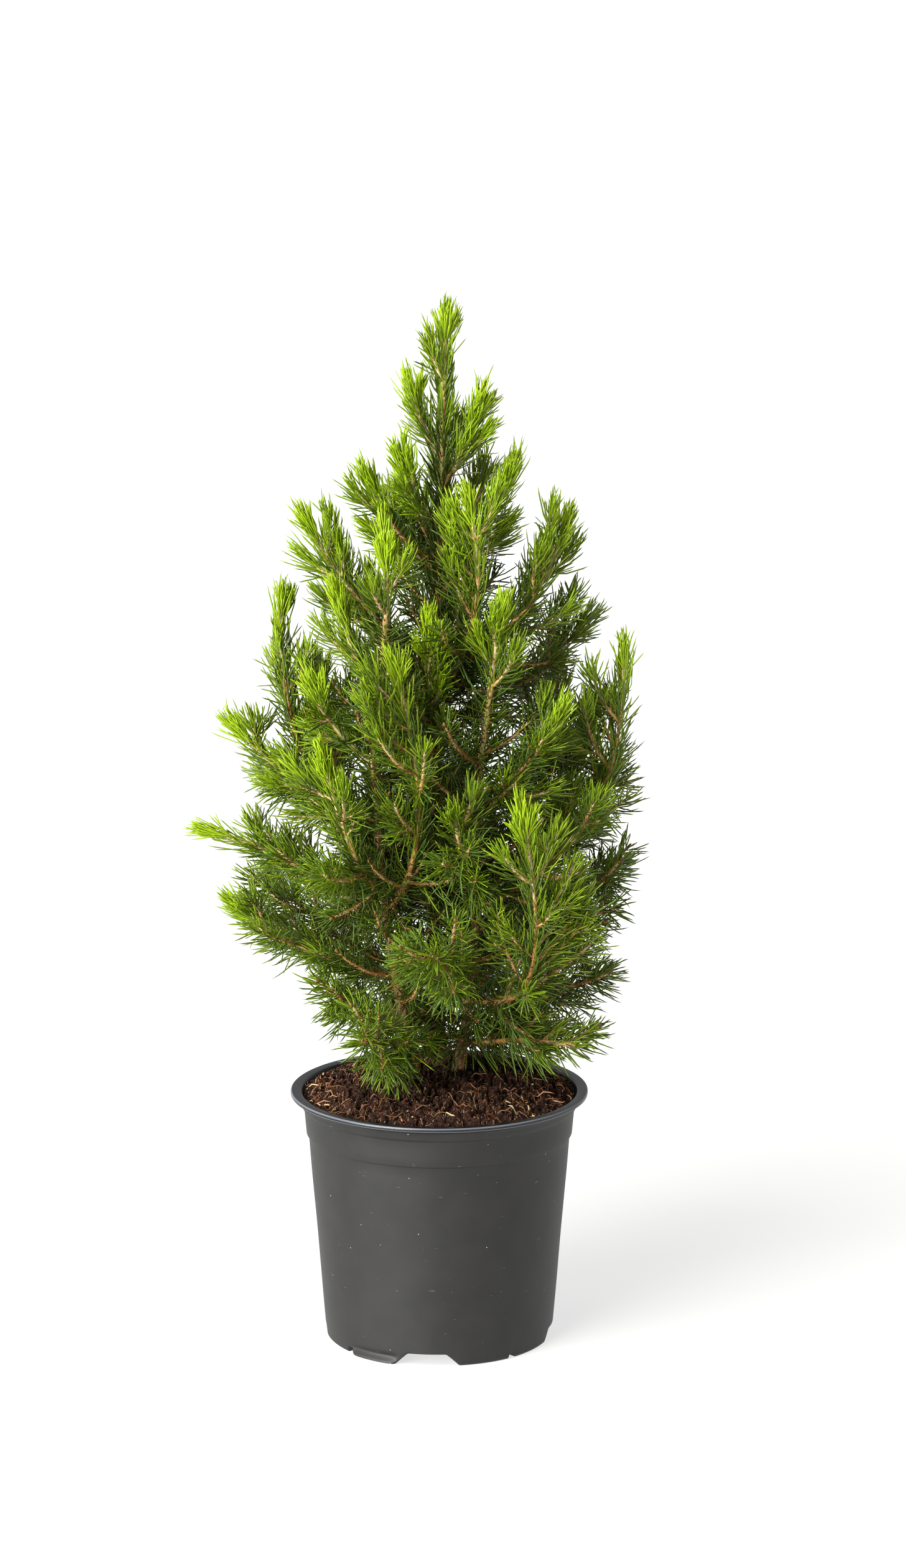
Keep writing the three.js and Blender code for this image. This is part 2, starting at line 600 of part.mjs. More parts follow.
/** One spray: a leading shoot whose core carries teeth of needles and twigs, in one closed surface. */
function spray(own, leaders, limbs, seed) {
  const twigs = twigsOf(own, leaders, limbs, seeded(seed));
  const axes = [own.points, ...twigs.map((twig) => twig.curve.getPoints(TWIG.steps))];
  const isOwnOf = (axis) => (spot) => {
    const distance = toCurve(spot, axis);
    if (axes.some((other) => other !== axis && toCurve(spot, other) < distance)) return false;
    return inOwnSpace(spot, own, leaders, limbs, OWN_SPACE, LIMB_SPACE);
  };
  twigs.forEach((twig, i) => {
    twig.isOwn = isOwnOf(axes[i + 1]);
  });
  const rings = coreRings(own.curve, SHOOT.coreRadius, segmentsOf(own.curve), 0);
  if (own.foot) seatOn(own.foot, own.curve, rings[0]);
  const faces = coreFaces(rings, own.curve, twigs, isOwnOf(axes[0]));
  faces.push([rings[0][0], rings[0][2], rings[0][1]]);
  const corners = new Float32Array(faces.flat().flatMap((spot) => spot.toArray()));
  const geometry = new THREE.BufferGeometry();
  geometry.setAttribute("position", new THREE.BufferAttribute(corners, 3));
  geometry.computeVertexNormals();
  return geometry;
}

// ---- Assembly ----------------------------------------------------------------------------------

const plastic = new THREE.MeshStandardMaterial({ color: "#3f3e3c", roughness: 0.45, metalness: 0 });
const peat = new THREE.MeshStandardMaterial({ color: "#2e1d14", roughness: 1, metalness: 0 });
const bark = new THREE.MeshStandardMaterial({ color: "#8a6a48", roughness: 0.9, metalness: 0 });
const needles = new THREE.MeshStandardMaterial({ color: "#4f7a35", roughness: 0.6, metalness: 0 });

const conifer = new THREE.Group();
conifer.add(meshOf("pot", pot(), plastic));
conifer.add(meshOf("soil", soil(), peat));

const limbs = new Map();
for (const row of STEMS) limbs.set(row.name, stemLimb(row));
for (const row of BOUGHS) limbs.set(row.name, boughLimb(row, limbs));
for (const wood of limbs.values()) conifer.add(meshOf(wood.name, limbGeometry(wood), bark));

const leaders = SPRAYS.map((row) => {
  const { curve, foot } = leadingShoot(row, limbs);
  return { name: row.name, curve, foot, points: curve.getPoints(SHOOT.measured) };
});
const wood = [...limbs.values()];
leaders.forEach((own, i) => {
  conifer.add(meshOf(own.name, spray(own, leaders, wood, FIRST_SEED + i), needles));
});

export default conifer;
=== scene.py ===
import math

import bmesh
import bpy
import numpy as np
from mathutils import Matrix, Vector, noise


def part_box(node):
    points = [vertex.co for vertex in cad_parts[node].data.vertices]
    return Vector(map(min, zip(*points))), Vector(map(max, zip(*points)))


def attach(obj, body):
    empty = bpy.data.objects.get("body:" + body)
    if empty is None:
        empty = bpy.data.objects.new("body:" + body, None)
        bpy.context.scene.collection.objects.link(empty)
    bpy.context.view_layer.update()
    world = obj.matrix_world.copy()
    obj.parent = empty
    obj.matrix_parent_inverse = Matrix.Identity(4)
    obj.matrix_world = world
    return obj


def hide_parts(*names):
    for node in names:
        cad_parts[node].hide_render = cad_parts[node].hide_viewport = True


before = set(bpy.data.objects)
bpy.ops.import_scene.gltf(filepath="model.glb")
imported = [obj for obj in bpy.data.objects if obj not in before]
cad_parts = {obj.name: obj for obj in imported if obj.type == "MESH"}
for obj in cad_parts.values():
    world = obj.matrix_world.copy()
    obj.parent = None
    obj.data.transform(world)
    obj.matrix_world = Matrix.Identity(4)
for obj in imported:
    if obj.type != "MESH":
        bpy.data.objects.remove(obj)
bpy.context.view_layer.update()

scene = bpy.context.scene

# ---- Camera ----
# A long lens that looks at the plant from the front, a little above its tip, and slightly down, so
# that the soil shows inside the rim.

CAMERA_PLACE = (0.006, -1.750, 0.598)
CAMERA_DIP = 11.35  # degrees below level
CAMERA_LENS = 94.86  # millimetres, on a sensor 36 mm along its long side

camera_data = bpy.data.cameras.new("camera")
camera_data.lens = CAMERA_LENS
camera = bpy.data.objects.new("camera", camera_data)
camera.location = CAMERA_PLACE
camera.rotation_euler = (math.radians(90 - CAMERA_DIP), 0, 0)
scene.collection.objects.link(camera)
scene.camera = camera

# ---- Studio ----
# A wide pale floor, lit a little from below as a light table is, under an even white surround. A large
# soft light stands high at the front left, a low one at the left, and a weak one at the left, a little
# behind.

FLOOR_HALF = 60
FLOOR_COLOUR, GLOW_COLOUR = "#9a9a98", "#ffffff"
FLOOR_GLOW = 0.68
SURROUND_COLOUR, SURROUND_STRENGTH = "#ffffff", 0.38
LIGHTS = {  # azimuth from the front towards the right, elevation, strength and width, in degrees
    "high_softbox": (-40, 50, 1.9, 28),
    "low_softbox": (-44, 7, 8.2, 48),
    "side_softbox": (-100, 10, 0.8, 50),
}


def linear(colour):
    """An sRGB hex colour as linear red, green, blue and alpha."""
    shares = [int(colour[i : i + 2], 16) / 255 for i in (1, 3, 5)]
    return (*(s / 12.92 if s <= 0.04045 else ((s + 0.055) / 1.055) ** 2.4 for s in shares), 1)


def add_node(tree, kind, inputs=None, stops=None, out=0, **settings):
    """An output of a new node with its settings, inputs set or linked, and colour stops."""
    node = tree.nodes.new("ShaderNode" + kind)
    for name, value in settings.items():
        setattr(node, name, value)
    for name, value in (inputs or {}).items():
        if isinstance(value, bpy.types.NodeSocket):
            tree.links.new(value, node.inputs[name])
        else:
            node.inputs[name].default_value = value
    if stops:
        elements = node.color_ramp.elements
        while len(elements) < len(stops):
            elements.new(0.5)
        for element, (place, colour) in zip(elements, stops):
            element.position = place
            element.color = linear(colour)
    return node.outputs[out]


def new_material(name, colour, roughness, specular=0.5):
    """A material with a plain base colour, its node tree and its shader."""
    material = bpy.data.materials.new(name)
    material.use_nodes = True
    shader = material.node_tree.nodes["Principled BSDF"]
    shader.inputs["Base Color"].default_value = linear(colour)
    shader.inputs["Roughness"].default_value = roughness
    shader.inputs["Specular IOR Level"].default_value = specular
    return material, material.node_tree, shader


def new_piece(name, mesh, *materials):
    """An object at the origin that shows a mesh with these materials."""
    piece = bpy.data.objects.new(name, mesh)
    for material in materials:
        mesh.materials.append(material)
    scene.collection.objects.link(piece)
    return piece


def mesh_of(name, bm):
    """A smooth-shaded mesh of a finished bmesh."""
    mesh = bpy.data.meshes.new(name)
    bm.to_mesh(mesh)
    bm.free()
    mesh.shade_smooth()
    return mesh


floor_bm = bmesh.new()
bmesh.ops.create_grid(floor_bm, x_segments=1, y_segments=1, size=FLOOR_HALF)
opal_sheet, _, shader = new_material("opal_acrylic_sheet", FLOOR_COLOUR, 0.9, 0.1)
shader.inputs["Emission Color"].default_value = linear(GLOW_COLOUR)
shader.inputs["Emission Strength"].default_value = FLOOR_GLOW
floor = new_piece("floor", mesh_of("floor", floor_bm), opal_sheet)

world = bpy.data.worlds.new("studio")
world.use_nodes = True
surround = world.node_tree.nodes["Background"]
surround.inputs["Color"].default_value = linear(SURROUND_COLOUR)
surround.inputs["Strength"].default_value = SURROUND_STRENGTH
scene.world = world
scene.view_settings.view_transform = "Standard"

for light_name, (azimuth, elevation, strength, width) in LIGHTS.items():
    light_data = bpy.data.lights.new(light_name, "SUN")
    light_data.energy = strength
    light_data.angle = math.radians(width)
    light = bpy.data.objects.new(light_name, light_data)
    light.rotation_euler = (math.radians(90 - elevation), 0, math.radians(azimuth))
    scene.collection.objects.link(light)

# ---- Pot ----
# A thin-walled nursery pot, injection moulded in black polypropylene: a flat rim with a rolled edge,
# a collar that steps in to a tapered wall, and a foot ring with four arches and drain notches. The
# foot at the front left has been pressed in and its edge rolled out.

_, pot_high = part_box("pot")
RIM_RADIUS = pot_high.x
POT_HEIGHT = pot_high.z
FLANGE_WIDTH = 0.0047
COLLAR_TOP_RADIUS, COLLAR_TOP = 0.0596, 0.1035
COLLAR_FOOT_RADIUS, COLLAR_FOOT = 0.0583, 0.0915
WALL_TOP_RADIUS, WALL_FOOT_RADIUS = 0.0573, 0.0504
WALL_THICKNESS = 0.0012
FLOOR_UNDERSIDE = 0.0056
FOOT_INNER_RADIUS = 0.044
PAD_RADIUS = 0.013
POT_STEPS = 360
ROW_SPACING = 0.005
FOOT_ROWS = (0.0016, 0.0024, 0.0032, 0.0040, 0.0048)
WALL_ROWS = (0.0066, 0.0078, 0.0094, 0.0120)
GAP_COUNT, GAP_FIRST = 4, -6  # arches in the foot ring, the first one's azimuth in degrees
GAP_HALF_WIDTH, GAP_FLARE = 0.0082, 0.0058
NOTCH_OFFSET, NOTCH_HALF_WIDTH, NOTCH_HEIGHT = 45.5, 0.0017, 0.0023
FOLD_AZIMUTH, FOLD_HALF_WIDTH = -35, 14
FOLD_OUT, FOLD_HEIGHT, FOLD_DEPTH = 0.0020, 0.0024, 0.0016
CREASE_IN, CREASE_HEIGHT, CREASE_WIDTH = 0.0008, 0.0034, 0.0010
WALL_WAVE, WALL_WAVE_SIZE = 0.00022, 0.03
LIP_HEIGHT = 0.002
SHARPEST_ANGLE = 50  # degrees between faces that still shade as one smooth surface


def turned(profile, steps, row_spacing=None):
    """A bmesh turned about the upright axis from corners of (radius, height, rounding)."""
    bm = bmesh.new()
    corners = [bm.verts.new((radius, 0, height)) for radius, height, _ in profile]
    for low, high in zip(corners, corners[1:]):
        bm.edges.new((low, high))
    for corner, (_, _, rounding) in zip(corners, profile):
        if rounding:
            bmesh.ops.bevel(bm, geom=[corner], offset=rounding, segments=3, profile=0.5,
                            affect="VERTICES", material=-1)
    if row_spacing:
        for edge in [e for e in bm.edges if e.calc_length() > 2 * row_spacing]:
            cuts = int(edge.calc_length() / row_spacing)
            bmesh.ops.subdivide_edges(bm, edges=[edge], cuts=cuts)
    bmesh.ops.spin(bm, geom=bm.verts[:] + bm.edges[:], cent=(0, 0, 0), axis=(0, 0, 1),
                   angle=2 * math.pi, steps=steps, use_merge=True)
    bmesh.ops.remove_doubles(bm, verts=bm.verts, dist=1e-6)
    bmesh.ops.recalc_face_normals(bm, faces=bm.faces)
    return bm


def degrees_between(first, second):
    return abs((first - second + 180) % 360 - 180)


def arch_share(azimuth, radius):
    """How far the foot ring is cut away at an azimuth: 0 not at all, 1 up to the floor."""
    share = 0
    for i in range(GAP_COUNT):
        centre = GAP_FIRST + 360 / GAP_COUNT * i
        reach = radius * math.radians(degrees_between(azimuth, centre))
        share = max(share, (GAP_HALF_WIDTH + GAP_FLARE - reach) / GAP_FLARE)
        reach = radius * math.radians(degrees_between(azimuth, centre + NOTCH_OFFSET))
        if reach < NOTCH_HALF_WIDTH:
            share = max(share, NOTCH_HEIGHT / FLOOR_UNDERSIDE)
    return min(share, 0.99)


def shape_pot(bm):
    """Opens the arches and notches, folds the front left foot out and lets the wall wave a little."""
    for vert in bm.verts:
        radius = math.hypot(vert.co.x, vert.co.y)
        azimuth = math.degrees(math.atan2(vert.co.x, -vert.co.y))
        if radius < FOOT_INNER_RADIUS - 1e-4:
            continue
        height = vert.co.z
        wave = WALL_WAVE * noise.noise(vert.co / WALL_WAVE_SIZE)
        if radius > foot_radius - FOLD_DEPTH:
            share = max(0, 1 - (degrees_between(azimuth, FOLD_AZIMUTH) / FOLD_HALF_WIDTH) ** 8)
            wave += FOLD_OUT * share * max(0, 1 - height / FOLD_HEIGHT) ** 1.4
            crease = math.exp(-(((height - CREASE_HEIGHT) / CREASE_WIDTH) ** 2))
            wave -= CREASE_IN * share * crease
        vert.co.xy *= (radius + wave) / radius
        if height < FLOOR_UNDERSIDE:
            left = 1 - arch_share(azimuth, radius)
            vert.co.z = FLOOR_UNDERSIDE - (FLOOR_UNDERSIDE - height) * left


flange_edge = RIM_RADIUS - FLANGE_WIDTH
foot_radius = WALL_FOOT_RADIUS - 0.0004
lip_foot = POT_HEIGHT - LIP_HEIGHT
foot_slope = (WALL_FOOT_RADIUS - foot_radius) / FLOOR_UNDERSIDE
wall_slope = (WALL_TOP_RADIUS - WALL_FOOT_RADIUS) / (COLLAR_FOOT - FLOOR_UNDERSIDE)
foot_rows = [(foot_radius + foot_slope * z, z, 0) for z in FOOT_ROWS]
wall_rows = [(WALL_FOOT_RADIUS + wall_slope * (z - FLOOR_UNDERSIDE), z, 0) for z in WALL_ROWS]
pot_bm = turned(
    [  # the underside, up the wall outside, over the rim and down the wall inside
        (0, 0, 0),
        (PAD_RADIUS, 0, 0.0004),
        (PAD_RADIUS + 0.0008, FLOOR_UNDERSIDE, 0.0004),
        (FOOT_INNER_RADIUS, FLOOR_UNDERSIDE, 0.0006),
        (FOOT_INNER_RADIUS + 0.0006, 0, 0.0005),
        (foot_radius, 0, 0.0012),
        *foot_rows,
        (WALL_FOOT_RADIUS, FLOOR_UNDERSIDE, 0),
        *wall_rows,
        (WALL_TOP_RADIUS, COLLAR_FOOT - 0.0002, 0.00015),
        (COLLAR_FOOT_RADIUS, COLLAR_FOOT + 0.0002, 0.00025),
        (COLLAR_TOP_RADIUS - 0.0002, COLLAR_TOP - 0.0003, 0.0002),
        (COLLAR_TOP_RADIUS + 0.0009, COLLAR_TOP + 0.0007, 0.0005),
        (COLLAR_TOP_RADIUS + 0.0016, COLLAR_TOP + 0.0040, 0.0012),
        (RIM_RADIUS - 0.0014, lip_foot - 0.0002, 0.0007),
        (RIM_RADIUS, lip_foot + 0.0002, 0.0004),
        (RIM_RADIUS, POT_HEIGHT, 0.0008),
        (flange_edge, POT_HEIGHT - 0.0003, 0.0006),
        (flange_edge - 0.0010, POT_HEIGHT - 0.0030, 0.0006),
        (COLLAR_TOP_RADIUS - WALL_THICKNESS, COLLAR_TOP, 0.0004),
        (WALL_TOP_RADIUS - WALL_THICKNESS, COLLAR_FOOT, 0),
        (WALL_FOOT_RADIUS - WALL_THICKNESS, FLOOR_UNDERSIDE + WALL_THICKNESS, 0.0004),
        (0, FLOOR_UNDERSIDE + WALL_THICKNESS, 0),
    ],
    POT_STEPS,
    ROW_SPACING,
)
shape_pot(pot_bm)

# Polypropylene from the mould: satin black, greyed by a dry film of dust on the wall, and glossier on
# the rim, whose blue black is a painted reflection, with a fine grain, dust specks and short scuffs
# round it.
# The rim's blue black is a painted reflection, not a colour of the plastic.
RIM_SHEEN_BLACK, WALL_BLACK, WALL_GREY = "#11141a", "#151413", "#1b1a18"
SPECK_COLOUR, SCUFF_COLOUR = "#b4a88f", "#5b5852"
# Painted highlights: two thin pale lines along the upper and lower edges of the lip.
EDGE_HIGHLIGHT_COLOUR, EDGE_HIGHLIGHT_WIDTH, EDGE_HIGHLIGHT_SHARE = "#85888e", 0.0006, 0.5
GLOSS_AND_SHEEN_FROM, GLOSS_AND_SHEEN_TO = 0.1085, 0.1102
WALL_ROUGHNESS, RIM_ROUGHNESS, POT_SPECULAR = 0.53, 0.28, 0.48
MOTTLE_SIZE, GRAIN_SIZE = 0.012, 0.0009  # the grain is coarser than the real one, so that it shows
SPECK_SPACING, SPECK_SHARE, SPECK_RADIUS = 0.0042, 0.83, 0.055
SCUFF_LENGTH, SCUFF_FLAT, SCUFF_SHARE = 0.005, 7, 0.735
MIX_A, MIX_B, MIX_RESULT = 6, 7, 2

plastic, tree, shader = new_material("moulded_polypropylene", WALL_BLACK, WALL_ROUGHNESS,
                                     POT_SPECULAR)
place = add_node(tree, "TexCoord", out="Object")
height = add_node(tree, "SeparateXYZ", {"Vector": place}, out="Z")
flat = add_node(tree, "VectorMath", {0: place, 1: (1, 1, 0)}, operation="MULTIPLY")
radius = add_node(tree, "VectorMath", {0: flat}, out="Value", operation="LENGTH")
# The rim and lip band: glossier, and blue black as a painted reflection.
gloss_and_sheen = add_node(tree, "MapRange",
                 {"Value": height, "From Min": GLOSS_AND_SHEEN_FROM, "From Max": GLOSS_AND_SHEEN_TO})

squashed = add_node(tree, "Mapping", {"Vector": place, "Scale": (1, 1, SCUFF_FLAT)})
streaks = add_node(tree, "TexNoise",
                   {"Vector": squashed, "Scale": 1 / SCUFF_LENGTH, "Detail": 3})
scuffed = add_node(tree, "Math", {0: streaks, 1: SCUFF_SHARE}, operation="GREATER_THAN")

# Painted highlight lines on the lip's outer face, along its upper and lower edges.
upper, lower = (
    add_node(tree, "Math", {0: height, 1: edge, 2: EDGE_HIGHLIGHT_WIDTH / 2}, operation="COMPARE")
    for edge in (POT_HEIGHT - EDGE_HIGHLIGHT_WIDTH * 0.6, lip_foot + EDGE_HIGHLIGHT_WIDTH * 0.2)
)
either = add_node(tree, "Math", {0: upper, 1: lower}, operation="MAXIMUM")
edge_highlight = add_node(tree, "Math", {0: radius, 1: RIM_RADIUS - EDGE_HIGHLIGHT_WIDTH}, operation="GREATER_THAN")
for factor in (either, EDGE_HIGHLIGHT_SHARE):
    edge_highlight = add_node(tree, "Math", {0: edge_highlight, 1: factor}, operation="MULTIPLY")

lot = add_node(tree, "TexVoronoi", {"Vector": place, "Scale": 1 / SPECK_SPACING}, out="Color")
number = add_node(tree, "SeparateColor", {"Color": lot}, out="Red")
drawn = add_node(tree, "Math", {0: number, 1: SPECK_SHARE}, operation="GREATER_THAN")
near = add_node(tree, "Math", {0: lot.node.outputs["Distance"], 1: SPECK_RADIUS},
                operation="LESS_THAN")
speck = add_node(tree, "Math", {0: drawn, 1: near}, operation="MULTIPLY")

mottle = add_node(tree, "TexNoise", {"Vector": place, "Scale": 1 / MOTTLE_SIZE, "Detail": 5})
shade = add_node(tree, "ValToRGB", {"Fac": mottle}, [(0.35, WALL_BLACK), (0.65, WALL_GREY)])
for share, colour in ((gloss_and_sheen, RIM_SHEEN_BLACK), (scuffed, SCUFF_COLOUR), (edge_highlight, EDGE_HIGHLIGHT_COLOUR),
                      (speck, SPECK_COLOUR)):
    shade = add_node(tree, "Mix", {0: share, MIX_A: shade, MIX_B: linear(colour)},
                     out=MIX_RESULT, data_type="RGBA")
satin = add_node(tree, "MapRange",
                 {"Value": gloss_and_sheen, "To Min": WALL_ROUGHNESS, "To Max": RIM_ROUGHNESS})
grain = add_node(tree, "TexNoise", {"Vector": place, "Scale": 1 / GRAIN_SIZE, "Detail": 2})
relief = add_node(tree, "Bump", {"Height": grain, "Strength": 0.1, "Distance": 0.0002})
for name, output in (("Base Color", shade), ("Roughness", satin), ("Normal", relief)):
    tree.links.new(output, shader.inputs[name])

pot = new_piece("pot_shell", mesh_of("pot_shell", pot_bm), plastic)
pot.data.set_sharp_from_angle(angle=math.radians(SHARPEST_ANGLE))
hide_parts("pot")
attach(pot, "root")

# ---- Soil ----
# Dark peat, heaped towards the stems and rough with lumps and hollows, that fills the pot to just
# under its rim. Crumbs, reddish fibres, dead needles, straw and thin roots lie on it.

MOUND_RADII = (0, 0.027, 0.036, 0.045, 0.054, 0.0595)
MOUND_HEIGHTS = (0.1176, 0.1174, 0.1160, 0.1144, 0.1118, 0.1088)
SOIL_EDGE = MOUND_RADII[-1]
SOIL_GAP = 0.0003
SOIL_FOOT = FLOOR_UNDERSIDE + WALL_THICKNESS + SOIL_GAP
SOIL_STEPS, SOIL_RINGS = 520, 124
LUMP_SIZE, LUMP_HEIGHT = 0.011, 0.0020
CLOD_SIZE, CLOD_CRACK, CRACK_DEPTH = 0.0055, 0.26, 0.0042
GRIT_SIZE, GRIT_HEIGHT = 0.0015, 0.0009
EDGE_ROUGH, EDGE_WIDTH = 0.25, 0.012  # the peat is pressed smoother within this width of the pot
HOLLOW_SHADE_FROM, HOLLOW_SHADE_TO = 0.0006, 0.0034  # how deep under the heap's surface a hollow darkens with painted shade
STEM_FEET = ((-0.001, 0.012), (-0.011, 0.003), (0.008, 0.002))
STEM_HEAP, STEM_HEAP_SIZE = 0.0016, 0.007


def ground(x, y):
    """The height of the soil's surface at a place."""
    radius = math.hypot(x, y)
    rough = min(1, EDGE_ROUGH + (SOIL_EDGE - radius) / EDGE_WIDTH)
    lumps = LUMP_HEIGHT * noise.fractal(Vector((x, y, 0)) / LUMP_SIZE, 1, 2, 3)
    seam = abs(noise.fractal(Vector((x, y, 0.01)) / CLOD_SIZE, 0.9, 2, 2))
    cracks = CRACK_DEPTH * max(0, 1 - seam / CLOD_CRACK)
    grit = GRIT_HEIGHT * noise.noise(Vector((x, y, 0.02)) / GRIT_SIZE)
    heap = sum(math.exp(-math.hypot(x - a, y - b) / STEM_HEAP_SIZE) for a, b in STEM_FEET)
    height = np.interp(radius, MOUND_RADII, MOUND_HEIGHTS)
    return height + rough * (lumps - cracks + grit) + STEM_HEAP * heap


inner_foot = WALL_FOOT_RADIUS - WALL_THICKNESS - SOIL_GAP
inner_top = WALL_TOP_RADIUS - WALL_THICKNESS - SOIL_GAP
soil_profile = [(0, SOIL_FOOT, 0), (inner_foot, SOIL_FOOT, 0), (inner_top, COLLAR_FOOT, 0)]
for radius in np.linspace(SOIL_EDGE, 0, SOIL_RINGS):
    soil_profile.append((radius, np.interp(radius, MOUND_RADII, MOUND_HEIGHTS), 0))
soil_bm = turned(soil_profile, SOIL_STEPS)
depth = soil_bm.verts.layers.float.new("depth")
for vert in soil_bm.verts:
    if vert.co.z > COLLAR_FOOT + 0.001:
        smooth = vert.co.z
        vert.co.z = ground(vert.co.x, vert.co.y)
        vert[depth] = smooth - vert.co.z

# Moist peat: dark brown and matt, redder where it has dried, with a crumb about 1 mm across, and
# darkened in its hollows by painted shade.
PEAT_DARK, PEAT, PEAT_DRY, PEAT_RED = "#0b0603", "#2c190f", "#4f3121", "#6e3c24"
PEAT_STOPS = [(0.34, PEAT_DARK), (0.52, PEAT), (0.66, PEAT_DRY), (0.8, PEAT_RED)]
CRUMB_SIZE = 0.0011


def weathered(name, finish, stops, grain, relief, fade):
    """A rough natural material. `finish` is its roughness and specular level. Noise deals out its
    colours by `stops` and raises it by `relief`, a strength and distance; `grain` is the noise's
    size, height scale, detail and roughness. `fade` is an attribute of the mesh, the values where
    the colours start to fade to another and have done so, and that colour."""
    material, tree, shader = new_material(name, stops[1][1], *finish)
    size, rise, detail, roughness = grain
    place = add_node(tree, "TexCoord", out="Object")
    scaled = add_node(tree, "Mapping", {"Vector": place, "Scale": (1, 1, rise)})
    flakes = add_node(tree, "TexNoise", {"Vector": scaled, "Scale": 1 / size, "Detail": detail,
                                         "Roughness": roughness})
    shade = add_node(tree, "ValToRGB", {"Fac": flakes}, stops)
    attribute, faint, full, colour = fade
    value = add_node(tree, "Attribute", out="Fac", attribute_name=attribute)
    share = add_node(tree, "MapRange", {"Value": value, "From Min": faint, "From Max": full})
    shade = add_node(tree, "Mix", {0: share, MIX_A: shade, MIX_B: linear(colour)},
                     out=MIX_RESULT, data_type="RGBA")
    bump = add_node(tree, "Bump", {"Height": flakes, "Strength": relief[0],
                                   "Distance": relief[1]})
    tree.links.new(shade, shader.inputs["Base Color"])
    tree.links.new(bump, shader.inputs["Normal"])
    return material


# The peat fades to dark peat in its hollows: painted shade.
peat = weathered("moist_peat", (0.92, 0.2), PEAT_STOPS, (CRUMB_SIZE, 1, 6, 0.7), (0.9, 0.0009),
                 ("depth", HOLLOW_SHADE_FROM, HOLLOW_SHADE_TO, PEAT_DARK))
soil = new_piece("peat_heap", mesh_of("peat_heap", soil_bm), peat)
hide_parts("soil")
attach(soil, "root")


def unit(vectors):
    return vectors / np.maximum(np.linalg.norm(vectors, axis=-1, keepdims=True), 1e-12)


def strands(name, lines, radii, sides, slots):
    """A mesh of many tapering strands, joined. Each strand follows its own points and ends in a
    point at the last one, and each stretch between two points has a material slot."""
    count, rings = lines.shape[:2]
    along = unit(np.gradient(lines, axis=1))
    span = unit(lines[:, -1] - lines[:, 0])
    helper = np.where(np.abs(span[:, 2:]) < 0.9, (0.0, 0.0, 1.0), (1.0, 0.0, 0.0))
    side = unit(np.cross(span, helper))[:, None, :]
    up = unit(np.cross(along, side))
    side = np.cross(up, along)
    angles = 2 * math.pi * np.arange(sides) / sides
    circle = (side[:, :-1, None] * np.cos(angles)[:, None]
              + up[:, :-1, None] * np.sin(angles)[:, None])
    body = lines[:, :-1, None] + radii[:, :-1, None, None] * circle
    points = np.concatenate((body.reshape(count, -1, 3), lines[:, -1:]), axis=1)

    faces = [list(range(sides))[::-1]]
    stretches = [0]
    for i in range(rings - 1):
        for k in range(sides):
            low, high = i * sides, (i + 1) * sides
            near, far = k, (k + 1) % sides
            if i < rings - 2:
                faces.append([low + near, low + far, high + far, high + near])
            else:
                faces.append([low + near, low + far, high])
            stretches.append(i)
    corners = np.array([corner for face in faces for corner in face])
    starts = np.cumsum([0] + [len(face) for face in faces[:-1]])
    turns = np.arange(count)[:, None]
    corners = (corners + turns * points.shape[1]).ravel()
    starts = (starts + turns * sum(len(face) for face in faces)).ravel()

    mesh = bpy.data.meshes.new(name)
    mesh.vertices.add(points.shape[0] * points.shape[1])
    mesh.vertices.foreach_set("co", points.astype(np.float32).ravel())
    mesh.loops.add(len(corners))
    mesh.loops.foreach_set("vertex_index", corners.astype(np.int32))
    mesh.polygons.add(len(starts))
    mesh.polygons.foreach_set("loop_start", starts.astype(np.int32))
    mesh.polygons.foreach_set("material_index", slots[:, stretches].astype(np.int32).ravel())
    mesh.update(calc_edges=True)
    mesh.shade_smooth()
    return mesh


def litter(name, count, reach, length, radius, shape, curl, lift, colours, seed):
    """Small things strewn over the soil."""
    draw = np.random.default_rng(seed)
    points = len(shape)
    radius_out = reach[0] + (reach[1] - reach[0]) * np.sqrt(draw.random(count))
    azimuth = 2 * math.pi * draw.random(count)
    size = draw.uniform(*length, count)
    heading = 2 * math.pi * draw.random(count)
    bend = draw.normal(0, curl, (count, points)).cumsum(axis=1)
    slope = draw.normal(lift, lift, count)
    share = np.linspace(0, 1, points)
    step = size[:, None] / (points - 1)
    way = heading[:, None] + bend
    lines = np.zeros((count, points, 3))
    lines[:, 1:, 0] = (step * np.cos(way))[:, 1:].cumsum(axis=1)
    lines[:, 1:, 1] = (step * np.sin(way))[:, 1:].cumsum(axis=1)
    lines[:, :, 0] += (radius_out * np.cos(azimuth))[:, None]
    lines[:, :, 1] += (radius_out * np.sin(azimuth))[:, None]
    distance = np.hypot(lines[:, :, 0], lines[:, :, 1])
    lines[:, :, :2] *= np.minimum(1, (SOIL_EDGE - 0.0005) / np.maximum(distance, 1e-6))[..., None]
    for line, tilt, long in zip(lines, slope, size):
        for point, along in zip(line, share):
            point[2] = ground(point[0], point[1]) + radius[0] + tilt * long * along
    thickness = draw.uniform(*radius, count)[:, None] * np.array(shape)
    thickness = thickness * draw.uniform(0.75, 1.25, (count, points))
    slots = np.repeat(draw.integers(0, len(colours), count)[:, None], points - 1, axis=1)
    mesh = strands(name, lines, thickness, 5 if shape is NUGGET else 4, slots)
    finishes = [new_material(f"{name}_{i}", c, 0.85, 0.2)[0] for i, c in enumerate(colours)]
    piece = new_piece(name, mesh, *finishes)
    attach(piece, "root")


